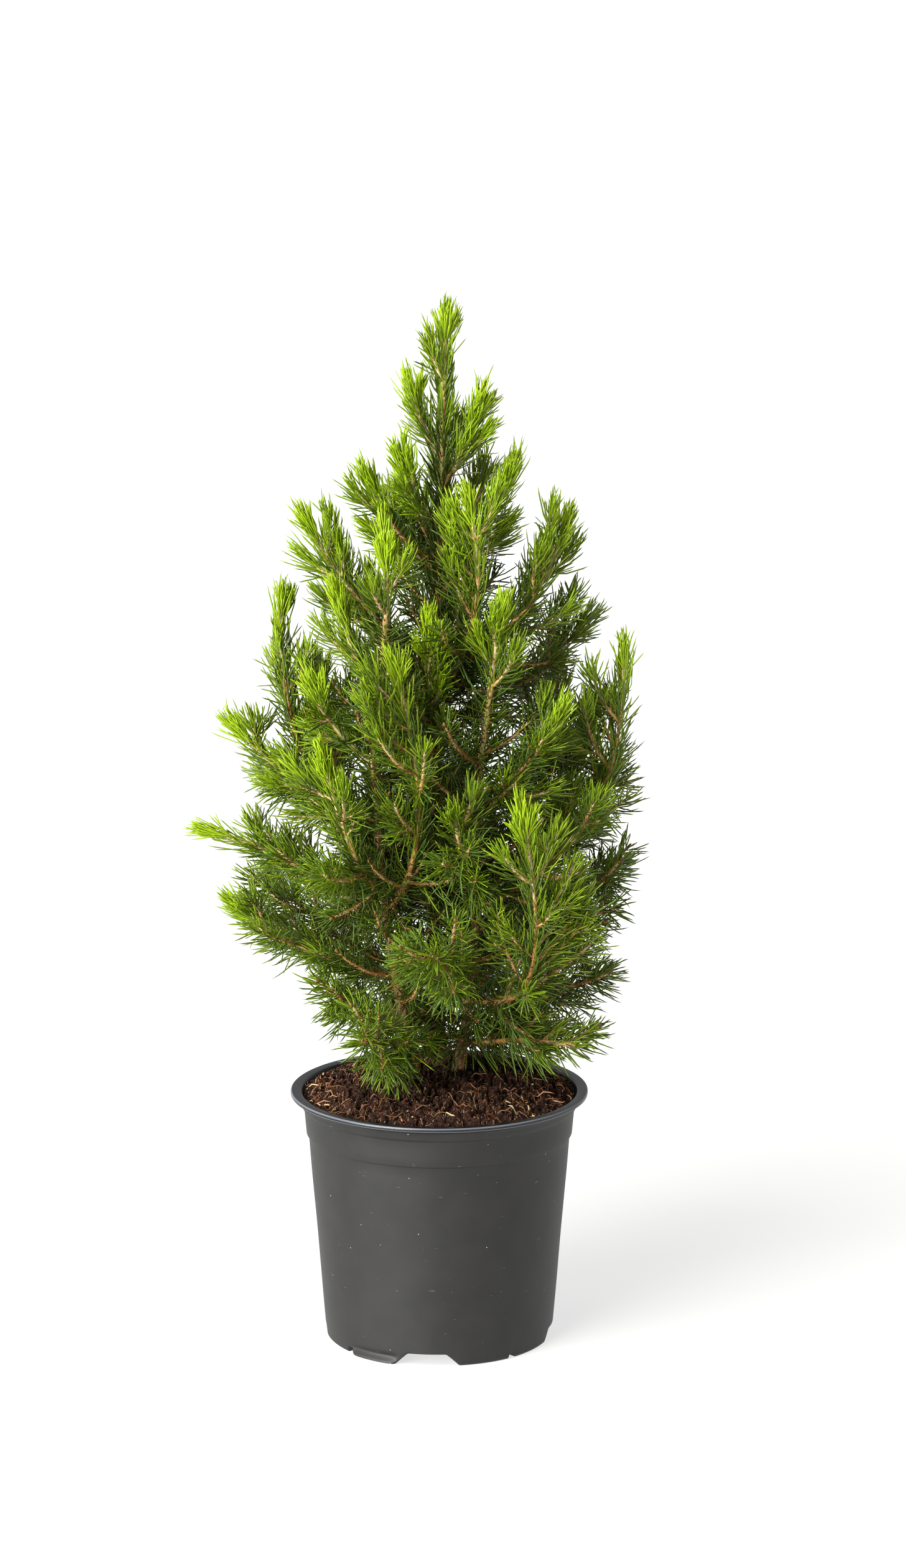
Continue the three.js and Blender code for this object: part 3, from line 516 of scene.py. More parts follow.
NUGGET = (0.6, 1.0, 0.85, 0)  # the share of its full thickness at each point along a piece
FIBRE = (0.7, 1, 1, 0.9, 0.7, 0)
NEEDLE = (0.6, 1, 0.9, 0.6, 0)
STRAW = (0.8, 1, 1, 0.8, 0)
ROOT = (1,) * 15 + (0,)
LITTER = {  # count, nearest and furthest from the axis, length, radius, shape, curl, lift, colours
    "peat_crumbs": (6400, (0, 0.0590), (0.0004, 0.0012), (0.00020, 0.00048), NUGGET, 0.5, 0.2,
                    (PEAT_DARK, PEAT, PEAT, "#3a261a", PEAT_DRY, "#6a523e")),
    "peat_fibres": (900, (0, 0.0585), (0.002, 0.009), (0.00005, 0.00012), FIBRE, 0.5, 0.12,
                    ("#74422a", "#8a6040", "#50301e", "#a07a50", "#8a4c2c")),
    "fallen_needles": (90, (0.012, 0.058), (0.008, 0.012), (0.00028, 0.00038), NEEDLE, 0.06, 0.10,
                       ("#93654a", "#7d5138", "#64432a", "#a67c5e")),
    "straw_bits": (22, (0.040, 0.0585), (0.004, 0.011), (0.0003, 0.0005), STRAW, 0.08, 0.05,
                   ("#b8946a", "#a67c4e", "#c9ae82")),
    "thin_roots": (22, (0.015, 0.057), (0.014, 0.030), (0.00012, 0.00020), ROOT, 0.55, 0.03,
                   ("#99683c", "#805333", "#a97e52")),
    "pale_chips": (34, (0.010, 0.0588), (0.0008, 0.0020), (0.0002, 0.0005), NUGGET, 0.3, 0.1,
                   ("#c4b392", "#a38a62")),
}
LITTER_SEED = 3
for seed, (name, values) in enumerate(LITTER.items(), LITTER_SEED):
    litter(name, *values, seed)

# ---- Trunk, stems and boughs ----
# One trunk and two lesser stems rise from the soil, and boughs leave them low and turn up. Their
# bark is thin and tan, ridged along the stem, with a rough peg wherever a needle has dropped.

STEMS = {  # points evenly spaced along the stem; radius at its foot and tip, and the foot's flare
    "trunk": (
        [(-0.001, 0.012, 0.1183), (-0.0022, 0.009, 0.191), (-0.002, 0.008, 0.263),
         (0.0006, 0.0045, 0.336), (0.0018, 0.0005, 0.408)],
        0.0036, 0.001, 0.0016,
    ),
    "stem_left": (
        [(-0.011, 0.003, 0.1183), (-0.0196, -0.011, 0.17), (-0.025, -0.0195, 0.222),
         (-0.0264, -0.0245, 0.274), (-0.0226, -0.028, 0.32)],
        0.0023, 0.001, 0.0009,
    ),
    "stem_right": (
        [(0.008, 0.002, 0.1183), (0.014, -0.006, 0.161), (0.0163, -0.0135, 0.204),
         (0.017, -0.021, 0.247), (0.0215, -0.029, 0.29)],
        0.0021, 0.001, 0.0008,
    ),
}
FLARE_SHARE = 0.03
BOUGHS = {  # the stem, the share up it, and the azimuth, reach and height of the bough's tip
    "bough_left_low": ("stem_left", 0.35, -70, 0.04, 0.198),
    "bough_left_front": ("stem_left", 0.42, -44, 0.04, 0.209),
    "bough_left_high": ("trunk", 0.32, -98, 0.032, 0.224),
    "bough_front": ("stem_left", 0.37, -19, 0.038, 0.216),
    "bough_fork": ("trunk", 0.57, 39, 0.022, 0.318),
    "bough_right_top": ("trunk", 0.6, 88, 0.022, 0.305),
    "bough_right_high": ("trunk", 0.27, 98, 0.036, 0.206),
    "bough_right_front": ("stem_right", 0.2, 40, 0.046, 0.16),
    "bough_right_low": ("stem_right", 0.08, 64, 0.027, 0.135),
    "bough_back_left": ("trunk", 0.25, -140, 0.034, 0.202),
    "bough_back_right": ("trunk", 0.3, 140, 0.034, 0.212),
}
BOUGH_FOOT, BOUGH_TIP = 0.0015, 0.0011
BOUGH_BEND, BOUGH_SAG = 0.55, 0.3
LIMB_PIECES = 24  # straight pieces that stand for a limb where a distance is taken
SHOOT_PIECES = 12
CURVE_JOINTS = 65  # points that a curve's length is summed over


def around(azimuth, reach, height):
    """A point at an azimuth and reach from the pot's axis, at a height. Azimuth 0 is the front."""
    angle = math.radians(azimuth)
    return np.array((reach * math.sin(angle), -reach * math.cos(angle), height))


def length_of(points):
    """The length of straight pieces from point to point."""
    return np.linalg.norm(np.diff(points, axis=0), axis=1).sum()


class Rise:
    """A stem's smooth curve through points that are evenly spaced along it."""

    def __init__(self, points):
        points = np.array(points)
        before = 2 * points[0] - points[1]
        after = 2 * points[-1] - points[-2]
        self.points = np.vstack((before, points, after))
        self.side = unit(np.cross(points[-1] - points[0], (0.0, 1.0, 0.0)))
        self.length = length_of(self.at(np.linspace(0, 1, CURVE_JOINTS)))

    def at(self, shares):
        shares = np.atleast_1d(shares)
        last = len(self.points) - 3
        place = np.clip(shares, 0, 1) * last
        first = np.minimum(place.astype(int), last - 1)
        w = (place - first)[:, None]
        a, b, c, d = (self.points[first + i] for i in range(4))
        rise, fall = (c - a) / 2, (d - b) / 2
        return ((2 * b - 2 * c + rise + fall) * w**3
                + (3 * c - 3 * b - 2 * rise - fall) * w**2 + rise * w + b)

    def heading(self, shares):
        shares = np.atleast_1d(shares)
        step = 1e-3
        return unit(self.at(np.minimum(shares + step, 1)) - self.at(np.maximum(shares - step, 0)))


class Bend:
    """A curve that bends once between its root and its tip, and lies in one plane."""

    def __init__(self, root, middle, tip):
        self.root, self.middle, self.tip = root, middle, tip
        self.side = unit(np.cross(tip - root, middle - root))
        self.length = length_of(self.at(np.linspace(0, 1, CURVE_JOINTS)))

    def at(self, shares):
        t = np.atleast_1d(shares)[:, None]
        early = self.root + (self.middle - self.root) * t
        late = self.middle + (self.tip - self.middle) * t
        return early + (late - early) * t

    def heading(self, shares):
        t = np.atleast_1d(shares)[:, None]
        return unit((self.middle - self.root) * (1 - t) + (self.tip - self.middle) * t)


def stem_radius(name, shares):
    _, foot, tip, flare = STEMS[name]
    return foot + (tip - foot) * shares + flare * np.exp(-shares / FLARE_SHARE)


def bough_radius(shares):
    return BOUGH_FOOT + (BOUGH_TIP - BOUGH_FOOT) * shares


evenly = np.linspace(0, 1, LIMB_PIECES + 1)
limbs = {}  # each limb's curve, and its radius at even shares along it
for name, (points, *_) in STEMS.items():
    limbs[name] = (Rise(points), stem_radius(name, evenly))
for name, (on, along, azimuth, reach, height) in BOUGHS.items():
    root = limbs[on][0].at(along)[0]
    tip = around(azimuth, reach, height)
    middle = root + (tip - root) * BOUGH_BEND
    middle[2] -= BOUGH_SAG * (tip[2] - root[2])
    limbs[name] = (Bend(root, middle, tip), bough_radius(evenly))

RIDGE_SIZE, RIDGE_STRETCH, RIDGE_HEIGHT = 0.0016, 4, 0.00032
KNOT_SIZE, KNOT_HEIGHT = 0.008 / 3, 0.00045
BARK_STEP = 0.0009
FULL_RELIEF_RADIUS = 0.0022  # a limb more slender than this has a flatter relief


def bark_skin(name, curve, radii, beyond):
    """A limb's bark: a grid rolled into a tube along its curve and raised into ridges and knots.
    `beyond` is how much older than a shoot's the wood at the limb's tip is, as a length."""
    length = length_of(curve.at(evenly))
    steps = int(length / BARK_STEP)
    sides = int(2 * math.pi * radii[0] / BARK_STEP) + 6
    shares = np.linspace(0, 1, steps + 1)
    centres, headings = curve.at(shares), curve.heading(shares)
    widths = np.interp(shares, evenly, radii)
    across = unit(np.cross(headings, (0.0, 1.0, 0.15)))
    up = np.cross(across, headings)
    bm = bmesh.new()
    bmesh.ops.create_grid(bm, x_segments=sides, y_segments=steps, size=0.5)
    from_tip = bm.verts.layers.float.new("from_tip")
    for vert in bm.verts:
        angle = 2 * math.pi * (vert.co.x + 0.5)
        i = round((vert.co.y + 0.5) * steps)
        out = across[i] * math.cos(angle) + up[i] * math.sin(angle)
        spot = Vector(centres[i] + widths[i] * out)
        stretched = Vector((spot.x, spot.y, spot.z / RIDGE_STRETCH)) / RIDGE_SIZE
        raised = RIDGE_HEIGHT * noise.fractal(stretched, 0.8, 2, 3)
        raised += KNOT_HEIGHT * max(0, noise.noise(spot / KNOT_SIZE))
        slim = min(1, widths[i] / FULL_RELIEF_RADIUS)
        vert[from_tip] = beyond + length * (1 - shares[i])
        vert.co = spot + Vector(out) * raised * slim
    bmesh.ops.remove_doubles(bm, verts=bm.verts, dist=2e-5)
    rims = [edge for edge in bm.edges if edge.is_boundary]
    bmesh.ops.holes_fill(bm, edges=rims)
    bmesh.ops.recalc_face_normals(bm, faces=bm.faces)
    return mesh_of(name, bm)


# Spruce bark: thin, dry and matt, tan over brown in the cracks on old wood and redder on boughs. It
# pales to a greenish cream at the tops of the trunk and stems, which grew last year.
CREAM_BARK, CREAM_LENGTH = "#98974f", (0.030, 0.085)
BEYOND, BOUGH_BEYOND = {"trunk": 0, "stem_left": 0.010, "stem_right": 0.010}, 0.06
BARKS = {
    "old_spruce_bark": [(0.3, "#4a2f1c"), (0.48, "#8a6240"), (0.62, "#b48a5c"), (0.8, "#d2b183")],
    "young_spruce_bark": [(0.3, "#5f4023"), (0.5, "#9b7040"), (0.68, "#c19b62"), (0.85, "#dcc08e")],
}
barks = [
    weathered(name, (0.85, 0.25), stops, (RIDGE_SIZE, 0.3, 5, 0.65), (0.7, 0.0004),
              ("from_tip", CREAM_LENGTH[1], CREAM_LENGTH[0], CREAM_BARK))
    for name, stops in BARKS.items()
]
for name, (curve, radii) in limbs.items():
    mesh = bark_skin(name, curve, radii, BEYOND.get(name, BOUGH_BEYOND))
    skin = new_piece(f"{name}_bark", mesh, barks[0 if name in STEMS else 1])
    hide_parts(name)
    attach(skin, "root")

GRAIN_SWING, GRAIN_DEPTH = 0.35, 0.0002


def grained(name, colour, roughness, size):
    """Wood or dry scale, matt, whose colour wanders lighter and darker with a fine relief."""
    material, tree, shader = new_material(name, colour, roughness, 0.25)
    place = add_node(tree, "TexCoord", out="Object")
    grain = add_node(tree, "TexNoise", {"Vector": place, "Scale": 1 / size, "Detail": 3})
    value = add_node(tree, "MapRange", {"Value": grain, "From Min": 0.3, "From Max": 0.7,
                                        "To Min": 1 - GRAIN_SWING, "To Max": 1 + GRAIN_SWING})
    shade = add_node(tree, "HueSaturation", {"Color": linear(colour), "Value": value})
    bump = add_node(tree, "Bump", {"Height": grain, "Strength": 0.6, "Distance": GRAIN_DEPTH})
    tree.links.new(shade, shader.inputs["Base Color"])
    tree.links.new(bump, shader.inputs["Normal"])
    return material


# The pegs: each is the rough woody foot of a fallen needle, about 1 mm high and leaning upwards.
PEG_EVERY, PEG_LENGTH, PEG_RADIUS, PEG_SINK, PEG_LEAN = 0.00042, 0.0016, 0.00043, 0.0004, 46
PEG_SHAPE, PEG_SEED, PEG_GRAIN = (1.2, 0.9, 0), 17, 0.0007
TURN = 137.5  # degrees from each needle or twig to the next around its shoot
PEG_COLOURS = {"tan_peg_wood": "#b28d5c", "orange_peg_wood": "#a1713f", "brown_peg_wood": "#6f4a2b"}


def spiral(curve, shares, swing, draw):
    """The ways out from places along a curve, in a spiral that swings a little, and its heading."""
    heading = curve.heading(shares)
    side = unit(curve.side - heading * (heading * curve.side).sum(axis=1, keepdims=True))
    normal = np.cross(heading, side)
    turn = math.radians(TURN) * np.arange(len(shares)) + draw.normal(0, swing, len(shares))
    return side * np.cos(turn)[:, None] + normal * np.sin(turn)[:, None], heading


draw = np.random.default_rng(PEG_SEED)
peg_lines = []
for curve, radii in limbs.values():
    shares = np.sort(draw.random(int(curve.length / PEG_EVERY)))
    out, heading = spiral(curve, shares, 0.3, draw)
    lean = np.radians(draw.normal(PEG_LEAN, 12, len(shares)))[:, None]
    way = heading * np.sin(lean) + out * np.cos(lean)
    size = PEG_LENGTH * draw.uniform(0.7, 1.2, (len(shares), 1))
    foot = curve.at(shares) + out * (np.interp(shares, evenly, radii)[:, None] - PEG_SINK)
    peg_lines.append(np.stack((foot, foot + way * size * 0.6, foot + way * size), axis=1))
peg_lines = np.concatenate(peg_lines)
peg_radii = PEG_RADIUS * draw.uniform(0.7, 1.3, (len(peg_lines), 1)) * np.array(PEG_SHAPE)
peg_slots = np.repeat(draw.integers(0, len(PEG_COLOURS), (len(peg_lines), 1)), 2, axis=1)
peg_materials = [grained(n, c, 0.85, PEG_GRAIN) for n, c in PEG_COLOURS.items()]
pegs = new_piece("bark_pegs", strands("bark_pegs", peg_lines, peg_radii, 4, peg_slots), *peg_materials)
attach(pegs, "root")

# ---- Sprays ----
# Each spray is one leading shoot, with twigs that stand along it in a spiral and turn up, and finer
# twigs on those. A spray keeps to its own space: what would leave it, or touch a limb, isn't grown.

SPRAYS = {  # by tier: name, limb, share along it (None at its tip), azimuth, reach, height, season
    "top": [
        ("spray_leader", "trunk", None, 90, 0.003, 0.446, "bright"),
        ("spray_top_left", "trunk", 0.93, -95, 0.012, 0.419, "bright"),
        ("spray_top_right", "trunk", 0.89, 80, 0.018, 0.413, "bright"),
        ("spray_top_back", "trunk", 0.84, 172, 0.019, 0.404, "fresh"),
        ("spray_upper_left", "trunk", 0.76, -88, 0.031, 0.38, "bright"),
        ("spray_upper_front_left", "trunk", 0.83, -55, 0.02, 0.389, "bright"),
        ("spray_upper_right", "trunk", 0.74, 92, 0.031, 0.384, "bright"),
        ("spray_upper_back_left", "trunk", 0.72, -152, 0.033, 0.374, "fresh"),
        ("spray_upper_back_right", "trunk", 0.78, 138, 0.031, 0.38, "mid"),
    ],
    "upper": [
        ("spray_front_top", "bough_fork", None, 28, 0.027, 0.372, "bright"),
        ("spray_right_top", "bough_right_top", None, 90, 0.054, 0.361, "bright"),
        ("spray_left_top", "trunk", 0.63, -86, 0.056, 0.361, "bright"),
        ("spray_left_top_back", "trunk", 0.57, -118, 0.05, 0.34, "fresh"),
        ("spray_back_top", "trunk", 0.61, 176, 0.048, 0.345, "fresh"),
        ("spray_right_top_back", "trunk", 0.53, 110, 0.069, 0.316, "mid"),
        ("spray_front_left_top", "stem_left", 0.84, -60, 0.05, 0.334, "bright"),
        ("spray_stem_left", "stem_left", None, -36, 0.038, 0.352, "bright"),
        ("spray_stem_right", "stem_right", None, 36, 0.045, 0.328, "bright"),
        ("spray_centre_front", "trunk", 0.48, -8, 0.03, 0.322, "bright"),
    ],
    "left": [
        ("spray_left", "bough_left_high", None, -90, 0.067, 0.327, "fresh"),
        ("spray_left_out", "stem_left", 0.56, -88, 0.087, 0.272, "fresh"),
        ("spray_left_inner", "stem_left", 0.68, -66, 0.058, 0.292, "bright"),
        ("spray_left_front", "bough_left_front", None, -44, 0.07, 0.268, "bright"),
    ],
    "right": [
        ("spray_front", "bough_front", None, -21, 0.052, 0.306, "bright"),
        ("spray_front_centre", "stem_right", 0.5, 6, 0.062, 0.246, "mid"),
        ("spray_right_inner", "stem_right", 0.7, 60, 0.06, 0.284, "fresh"),
        ("spray_right", "bough_right_high", None, 94, 0.08, 0.304, "fresh"),
        ("spray_right_bright", "bough_right_front", None, 25, 0.081, 0.25, "bright"),
        ("spray_right_side", "stem_right", 0.45, 68, 0.074, 0.244, "mid"),
        ("spray_right_out", "trunk", 0.16, 87, 0.079, 0.214, "dark"),
    ],
    "low": [
        ("spray_left_low", "bough_left_low", None, -84, 0.099, 0.228, "bright"),
        ("spray_left_under", "stem_left", 0.22, -81, 0.088, 0.196, "fresh"),
        ("spray_left_foot", "stem_left", 0.12, -68, 0.056, 0.164, "old"),
        ("spray_front_foot", "stem_left", 0.08, -28, 0.068, 0.148, "old"),
        ("spray_front_low", "stem_right", 0.28, -2, 0.078, 0.19, "old"),
        ("spray_right_foot", "bough_right_low", None, 62, 0.068, 0.138, "old"),
        ("spray_right_skirt", "trunk", 0.07, 100, 0.072, 0.16, "dark"),
    ],
    "back": [
        ("spray_back_left", "bough_back_left", None, -132, 0.072, 0.29, "fresh"),
        ("spray_back_right", "bough_back_right", None, 134, 0.072, 0.3, "bright"),
        ("spray_back", "trunk", 0.38, 180, 0.068, 0.292, "bright"),
        ("spray_back_mid", "trunk", 0.21, 178, 0.084, 0.232, "mid"),
        ("spray_back_left_low", "trunk", 0.13, -118, 0.084, 0.196, "mid"),
        ("spray_back_right_low", "trunk", 0.11, 138, 0.08, 0.186, "old"),
        ("spray_back_foot", "trunk", 0.05, -164, 0.068, 0.156, "old"),
    ],
}
CLEARANCE = 0.0003
SHOOT_ROOM = 0.0025  # the half width that a shoot's foot needs beside its limb
SHOOT_BEND, SHOOT_SAG, SHOOT_TIP_BEND = 0.6, 0.35, 0.45
RING_SPACING = 0.0095
TWIG_FROM, TWIG_TO, TWIG_EVERY, TWIG_SCATTER = 0.12, 0.86, 0.008, 0.6
TWIG_LOW_SHARE, TWIG_HIGH_SHARE, TWIG_VARY = 0.53, 0.21, 0.3
TWIG_SHORTEST, TWIG_RETRY = 0.015, 0.08
TWIG_ANGLE, TWIG_START_ANGLE, TWIG_LIFT = 50, 64, 0.12
UPTURN = {"top": (29, 46), "upper": (34, 53)}  # a grown twig turns up further, most near the top
LESSER_UPTURN = (42, 60)
TWIG_SPACE, LOWEST_TWIG = 0.0032, 0.126
FINE_SPACE, FINE_BEYOND_CROWN, FINE_START_TURN = 0.0012, 0.004, 14
FACES, FIRST_SEED = 6, 11
CROWN_HEIGHTS = (0.118, 0.15, 0.2, 0.25, 0.3, 0.34, 0.38, 0.415, 0.445, 0.448)
CROWN_RADII = (0.06, 0.074, 0.086, 0.084, 0.076, 0.062, 0.038, 0.015, 0.011, 0)


limb_joints = np.array([curve.at(evenly) for curve, _ in limbs.values()])
limb_radii = np.array([radii for _, radii in limbs.values()])


def to_segments(spots, joints):
    """Each spot's distance to each straight segment between joints, and the share along it of its
    nearest place. The joints are in rows, a row for each shoot or limb."""
    starts = joints[:, :-1].reshape(-1, 3)
    along = joints[:, 1:].reshape(-1, 3) - starts
    reach = spots[:, None] - starts
    shares = np.clip((reach * along).sum(axis=2) / (along * along).sum(axis=1), 0, 1)
    return np.linalg.norm(reach - shares[..., None] * along, axis=2), shares


def gap_to_limbs(spots, chosen=slice(None)):
    """Each spot's distance to the nearest surface of the limbs, or of a chosen few."""
    distance, shares = to_segments(spots, limb_joints[chosen])
    radii = limb_radii[chosen]
    gaps = distance - radii[:, :-1].ravel() - np.diff(radii, axis=1).ravel() * shares
    return gaps.min(axis=1)


def clear_of(limb_name, curve, room):
    """The part of a curve past where a round end with this room first stands clear of its limb."""
    for t in np.arange(0, 1, 0.002):
        centre, heading = curve.at(t)[0], curve.heading(t)[0]
        normal = np.cross(heading, curve.side)
        spots = centre + np.outer((0, room, -room, 0, 0), curve.side)
        spots += np.outer((0, 0, 0, room, -room), normal)
        if gap_to_limbs(spots, [list(limbs).index(limb_name)]).min() > CLEARANCE:
            late = curve.middle + (curve.tip - curve.middle) * t
            return Bend(centre, late, curve.tip)
    raise ValueError("a shoot never leaves the limb it grows from")


def leading_shoot(on, along, azimuth, reach, height):
    """A spray's leading shoot: its whole curve, and the part of it that is clear of its limb."""
    limb = limbs[on][0]
    tip = around(azimuth, reach, height)
    if along is None:
        heading = limb.heading(1)[0]
        root = limb.at(1)[0] + heading * CLEARANCE
        middle = root + heading * SHOOT_TIP_BEND * np.linalg.norm(tip - root)
        whole = Bend(root, middle, tip)
        return whole, whole
    root = limb.at(along)[0]
    middle = root + (tip - root) * SHOOT_BEND
    middle[2] -= SHOOT_SAG * abs(tip[2] - root[2])
    whole = Bend(root, middle, tip)
    return whole, clear_of(on, whole, SHOOT_ROOM)


leaders = [leading_shoot(*row[1:6]) for rows in SPRAYS.values() for row in rows]
leader_joints = np.array([clear.at(np.linspace(0, 1, SHOOT_PIECES + 1)) for _, clear in leaders])


def in_own_space(spots, own, margin, limb_margin):
    """Whether each spot is nearer its own leading shoot than any other, and clear of every limb."""
    distance, _ = to_segments(spots, leader_joints)
    nearest = distance.reshape(len(spots), -1, SHOOT_PIECES).min(axis=2)
    mine = nearest[:, own].copy()
    nearest[:, own] = np.inf
    return (nearest.min(axis=1) >= mine + margin) & (gap_to_limbs(spots) > limb_margin)


def in_crown(spots, margin=0):
    limit = np.interp(spots[:, 2], CROWN_HEIGHTS, CROWN_RADII)
    inside = np.hypot(spots[:, 0], spots[:, 1]) < limit + margin
    return inside & (spots[:, 2] > LOWEST_TWIG) & (spots[:, 2] < CROWN_HEIGHTS[-1])


def seeded(seed):
    """A repeatable row of numbers from 0 to 1."""
    state = seed
    while True:
        state = (state * 1664525 + 1013904223) % 4294967296
        yield state / 4294967296


def twig_from(root, heading, out, size, angle, start_angle):
    """A twig that leaves its parent at one angle and turns to another as it goes, and lifts."""
    far, near = math.radians(angle), math.radians(start_angle)
    middle = root + 0.5 * size * (heading * math.cos(near) + out * math.sin(near))
    tip = root + size * (heading * math.cos(far) + out * math.sin(far))
    tip[2] += TWIG_LIFT * size
    return Bend(root, middle, tip)


def twigs_of(own, curve, tier):
    """The twigs that stand along a leading shoot, longer near its foot."""
    draw = seeded(FIRST_SEED + own)
    segments = max(2, int(curve.length / RING_SPACING + 0.5))
    count = int(curve.length * (TWIG_TO - TWIG_FROM) / TWIG_EVERY) + 1
    turn = 360 * next(draw)
    twigs = []
    for i in range(count):
        place = TWIG_FROM + (TWIG_TO - TWIG_FROM) * (i + TWIG_SCATTER * next(draw)) / count
        segment = int(place * segments)
        t = (segment + 0.5) / segments
        share = TWIG_LOW_SHARE + (TWIG_HIGH_SHARE - TWIG_LOW_SHARE) * t
        reach = max(TWIG_SHORTEST, curve.length * share * (1 + TWIG_VARY * (next(draw) - 0.5)))
        root, heading = curve.at(t)[0], curve.heading(t)[0]
        normal = np.cross(heading, curve.side)
        for attempt in range(FACES):
            face = (int(turn * FACES / 360 + 0.5) + attempt) % FACES
            angle = 2 * math.pi * face / FACES
            out = curve.side * math.cos(angle) + normal * math.sin(angle)
            size = reach * (1 - TWIG_RETRY * attempt)
            twig = twig_from(root, heading, out, size, TWIG_ANGLE, TWIG_START_ANGLE)
            spots = twig.at(np.linspace(0.3, 1, 8))
            opposite = (face + FACES // 2) % FACES
            crowded = any(s == segment and f != opposite for _, s, f in twigs)
            if (not crowded and in_crown(spots).all()
                    and in_own_space(spots, own, TWIG_SPACE, TWIG_SPACE).all()):
                twig = twig_from(root, heading, out, size, *UPTURN.get(tier, LESSER_UPTURN))
                twigs.append((twig, segment, face))
                break
        turn += TURN
    return [twig for twig, _, _ in twigs]


def finer_twigs(own, parent, draw, first, last, every, share, least, angle):
    """Small twigs along a twig or shoot, kept where they stay in the spray's own space."""
    count = max(1, int(parent.length * (last - first) / every))
    places = first + (last - first) * (np.arange(count) + draw.random(count)) / count
    turns = math.radians(TURN) * np.arange(count) + 2 * math.pi * draw.random()
    grown = []
    for t, turn in zip(places, turns):
        root, heading = parent.at(t)[0], parent.heading(t)[0]
        normal = np.cross(heading, parent.side)
        out = parent.side * math.cos(turn) + normal * math.sin(turn)
        size = max(least, parent.length * (1 - t) * share) * draw.uniform(0.8, 1.15)
        twig = twig_from(root, heading, out, size, angle, angle + FINE_START_TURN)
        spots = twig.at((0.5, 0.75, 1))
        inside = in_crown(spots, FINE_BEYOND_CROWN).all()
        if inside and in_own_space(spots, own, 0, FINE_SPACE).all():
            grown.append(twig)
    return grown


# What stands along what: from and to which share, how closely, how long and at what angle.
FINE_ON_TWIG = {"first": 0.25, "last": 0.75, "every": 0.012, "share": 0.5, "least": 0.009, "angle": 44}
FINE_ON_SHOOT = {"first": 0.12, "last": 0.62, "every": 0.013, "share": 0.3, "least": 0.012, "angle": 48}
BUD_ON_SHOOT = {"first": 0.76, "last": 0.95, "every": 0.006, "share": 0.16, "least": 0.006, "angle": 32}
# Painted shade: "inner" twigs deep in the crown and "dark" sprays on its shaded right take darker
# colours.
SEASONS = {  # how fresh the growth at the tips is, from 0 to 1, and how light the old needles are
    "bright": (1.0, 0.46), "fresh": (0.75, 0.46), "mid": (0.42, 0.41), "old": (0.0, 0.45),
    "dark": (0.05, 0.40), "inner": (0.0, 0.22),
}
TWIG_FRESHNESS = {"top": 0.50, "upper": 0.40, "left": 0.25, "right": 0.15, "low": 0, "back": 0.2}
RISE_FRESHNESS, FINE_SHADE = 0.45, 0.03
SHOOT_SEED = 29
INNER_EVERY, INNER_LENGTH = 0.0062, (0.020, 0.038)
INNER_ANGLE, INNER_START_ANGLE, INNER_SPACE = 56, 72, 0.0014
INNER_MARGIN, INNER_SWING = 0.019, 0.04
INNER_TRIES, INNER_SHRINK, INNER_SWERVE = 5, 0.85, 1.2  # after each try that finds no room
LEVEL_HEIGHT, LEVEL_TURN = 0.150, 30  # below this height inner twigs stand out nearer to level
INNER_REACH = {"trunk": (0.04, 0.80), "stem_left": (0.06, 0.88), "stem_right": (0.05, 0.88)}

shoots = []  # tier, kind, curve, share where its needles start, freshness and lightness
draw = np.random.default_rng(SHOOT_SEED)
own = 0
for tier, rows in SPRAYS.items():
    for row in rows:
        fresh, light = SEASONS[row[-1]]
        whole, clear = leaders[own]
        bare = 1 - clear.length / whole.length
        shoots.append((tier, "leader", whole, bare + 0.04, fresh, light))
        for twig in twigs_of(own, clear, tier):
            rise = (twig.root[2] - clear.root[2]) / max(clear.tip[2] - clear.root[2], 0.02)
            share = TWIG_FRESHNESS[tier] + RISE_FRESHNESS * np.clip(rise, 0, 1)
            share *= draw.uniform(0.6, 1.15)
            shoots.append((tier, "twig", twig, 0.08, fresh * share, light))
            if tier not in UPTURN:
                for fine in finer_twigs(own, twig, draw, **FINE_ON_TWIG):
                    shoots.append((tier, "fine", fine, 0.12, fresh * 0.15, light - FINE_SHADE))
        if tier not in UPTURN:
            for fine in finer_twigs(own, clear, draw, **FINE_ON_SHOOT):
                shoots.append((tier, "fine", fine, 0.12, fresh * 0.2, light - FINE_SHADE))
        for bud in finer_twigs(own, clear, draw, **BUD_ON_SHOOT):
            shoots.append((tier, "bud", bud, 0.1, fresh * 0.85, light))
        own += 1

# Inner twigs fill the crown: they leave the trunk, stems and boughs all the way up, in the shade.
# Their needles take dark colours as painted shade.
fresh, light = SEASONS["inner"]
for name, (curve, radii) in limbs.items():
    first, last = INNER_REACH.get(name, (0.15, 0.95))
    count = int(curve.length * (last - first) / INNER_EVERY)
    shares = first + (last - first) * (np.arange(count) + draw.random(count)) / count
    turns = math.radians(TURN) * np.arange(count) + 2 * math.pi * draw.random()
    for t, turn in zip(shares, turns):
        root, heading = curve.at(t)[0], curve.heading(t)[0]
        side = unit(curve.side - heading * (heading * curve.side).sum())
        size = draw.uniform(*INNER_LENGTH)
        for _ in range(INNER_TRIES):
            out = side * math.cos(turn) + np.cross(heading, side) * math.sin(turn)
            low = LEVEL_TURN if root[2] < LEVEL_HEIGHT else 0
            twig = twig_from(root, heading, out, size, INNER_ANGLE + low, INNER_START_ANGLE + low)
            spots = twig.at((0.45, 0.7, 1))
            if in_crown(spots, -INNER_MARGIN).all() and gap_to_limbs(spots).min() > INNER_SPACE:
                shade = light + draw.normal(0, INNER_SWING)
                shoots.append(("inner", "twig", twig, 0.12, fresh, shade))
                break
            size *= INNER_SHRINK
            turn += INNER_SWERVE

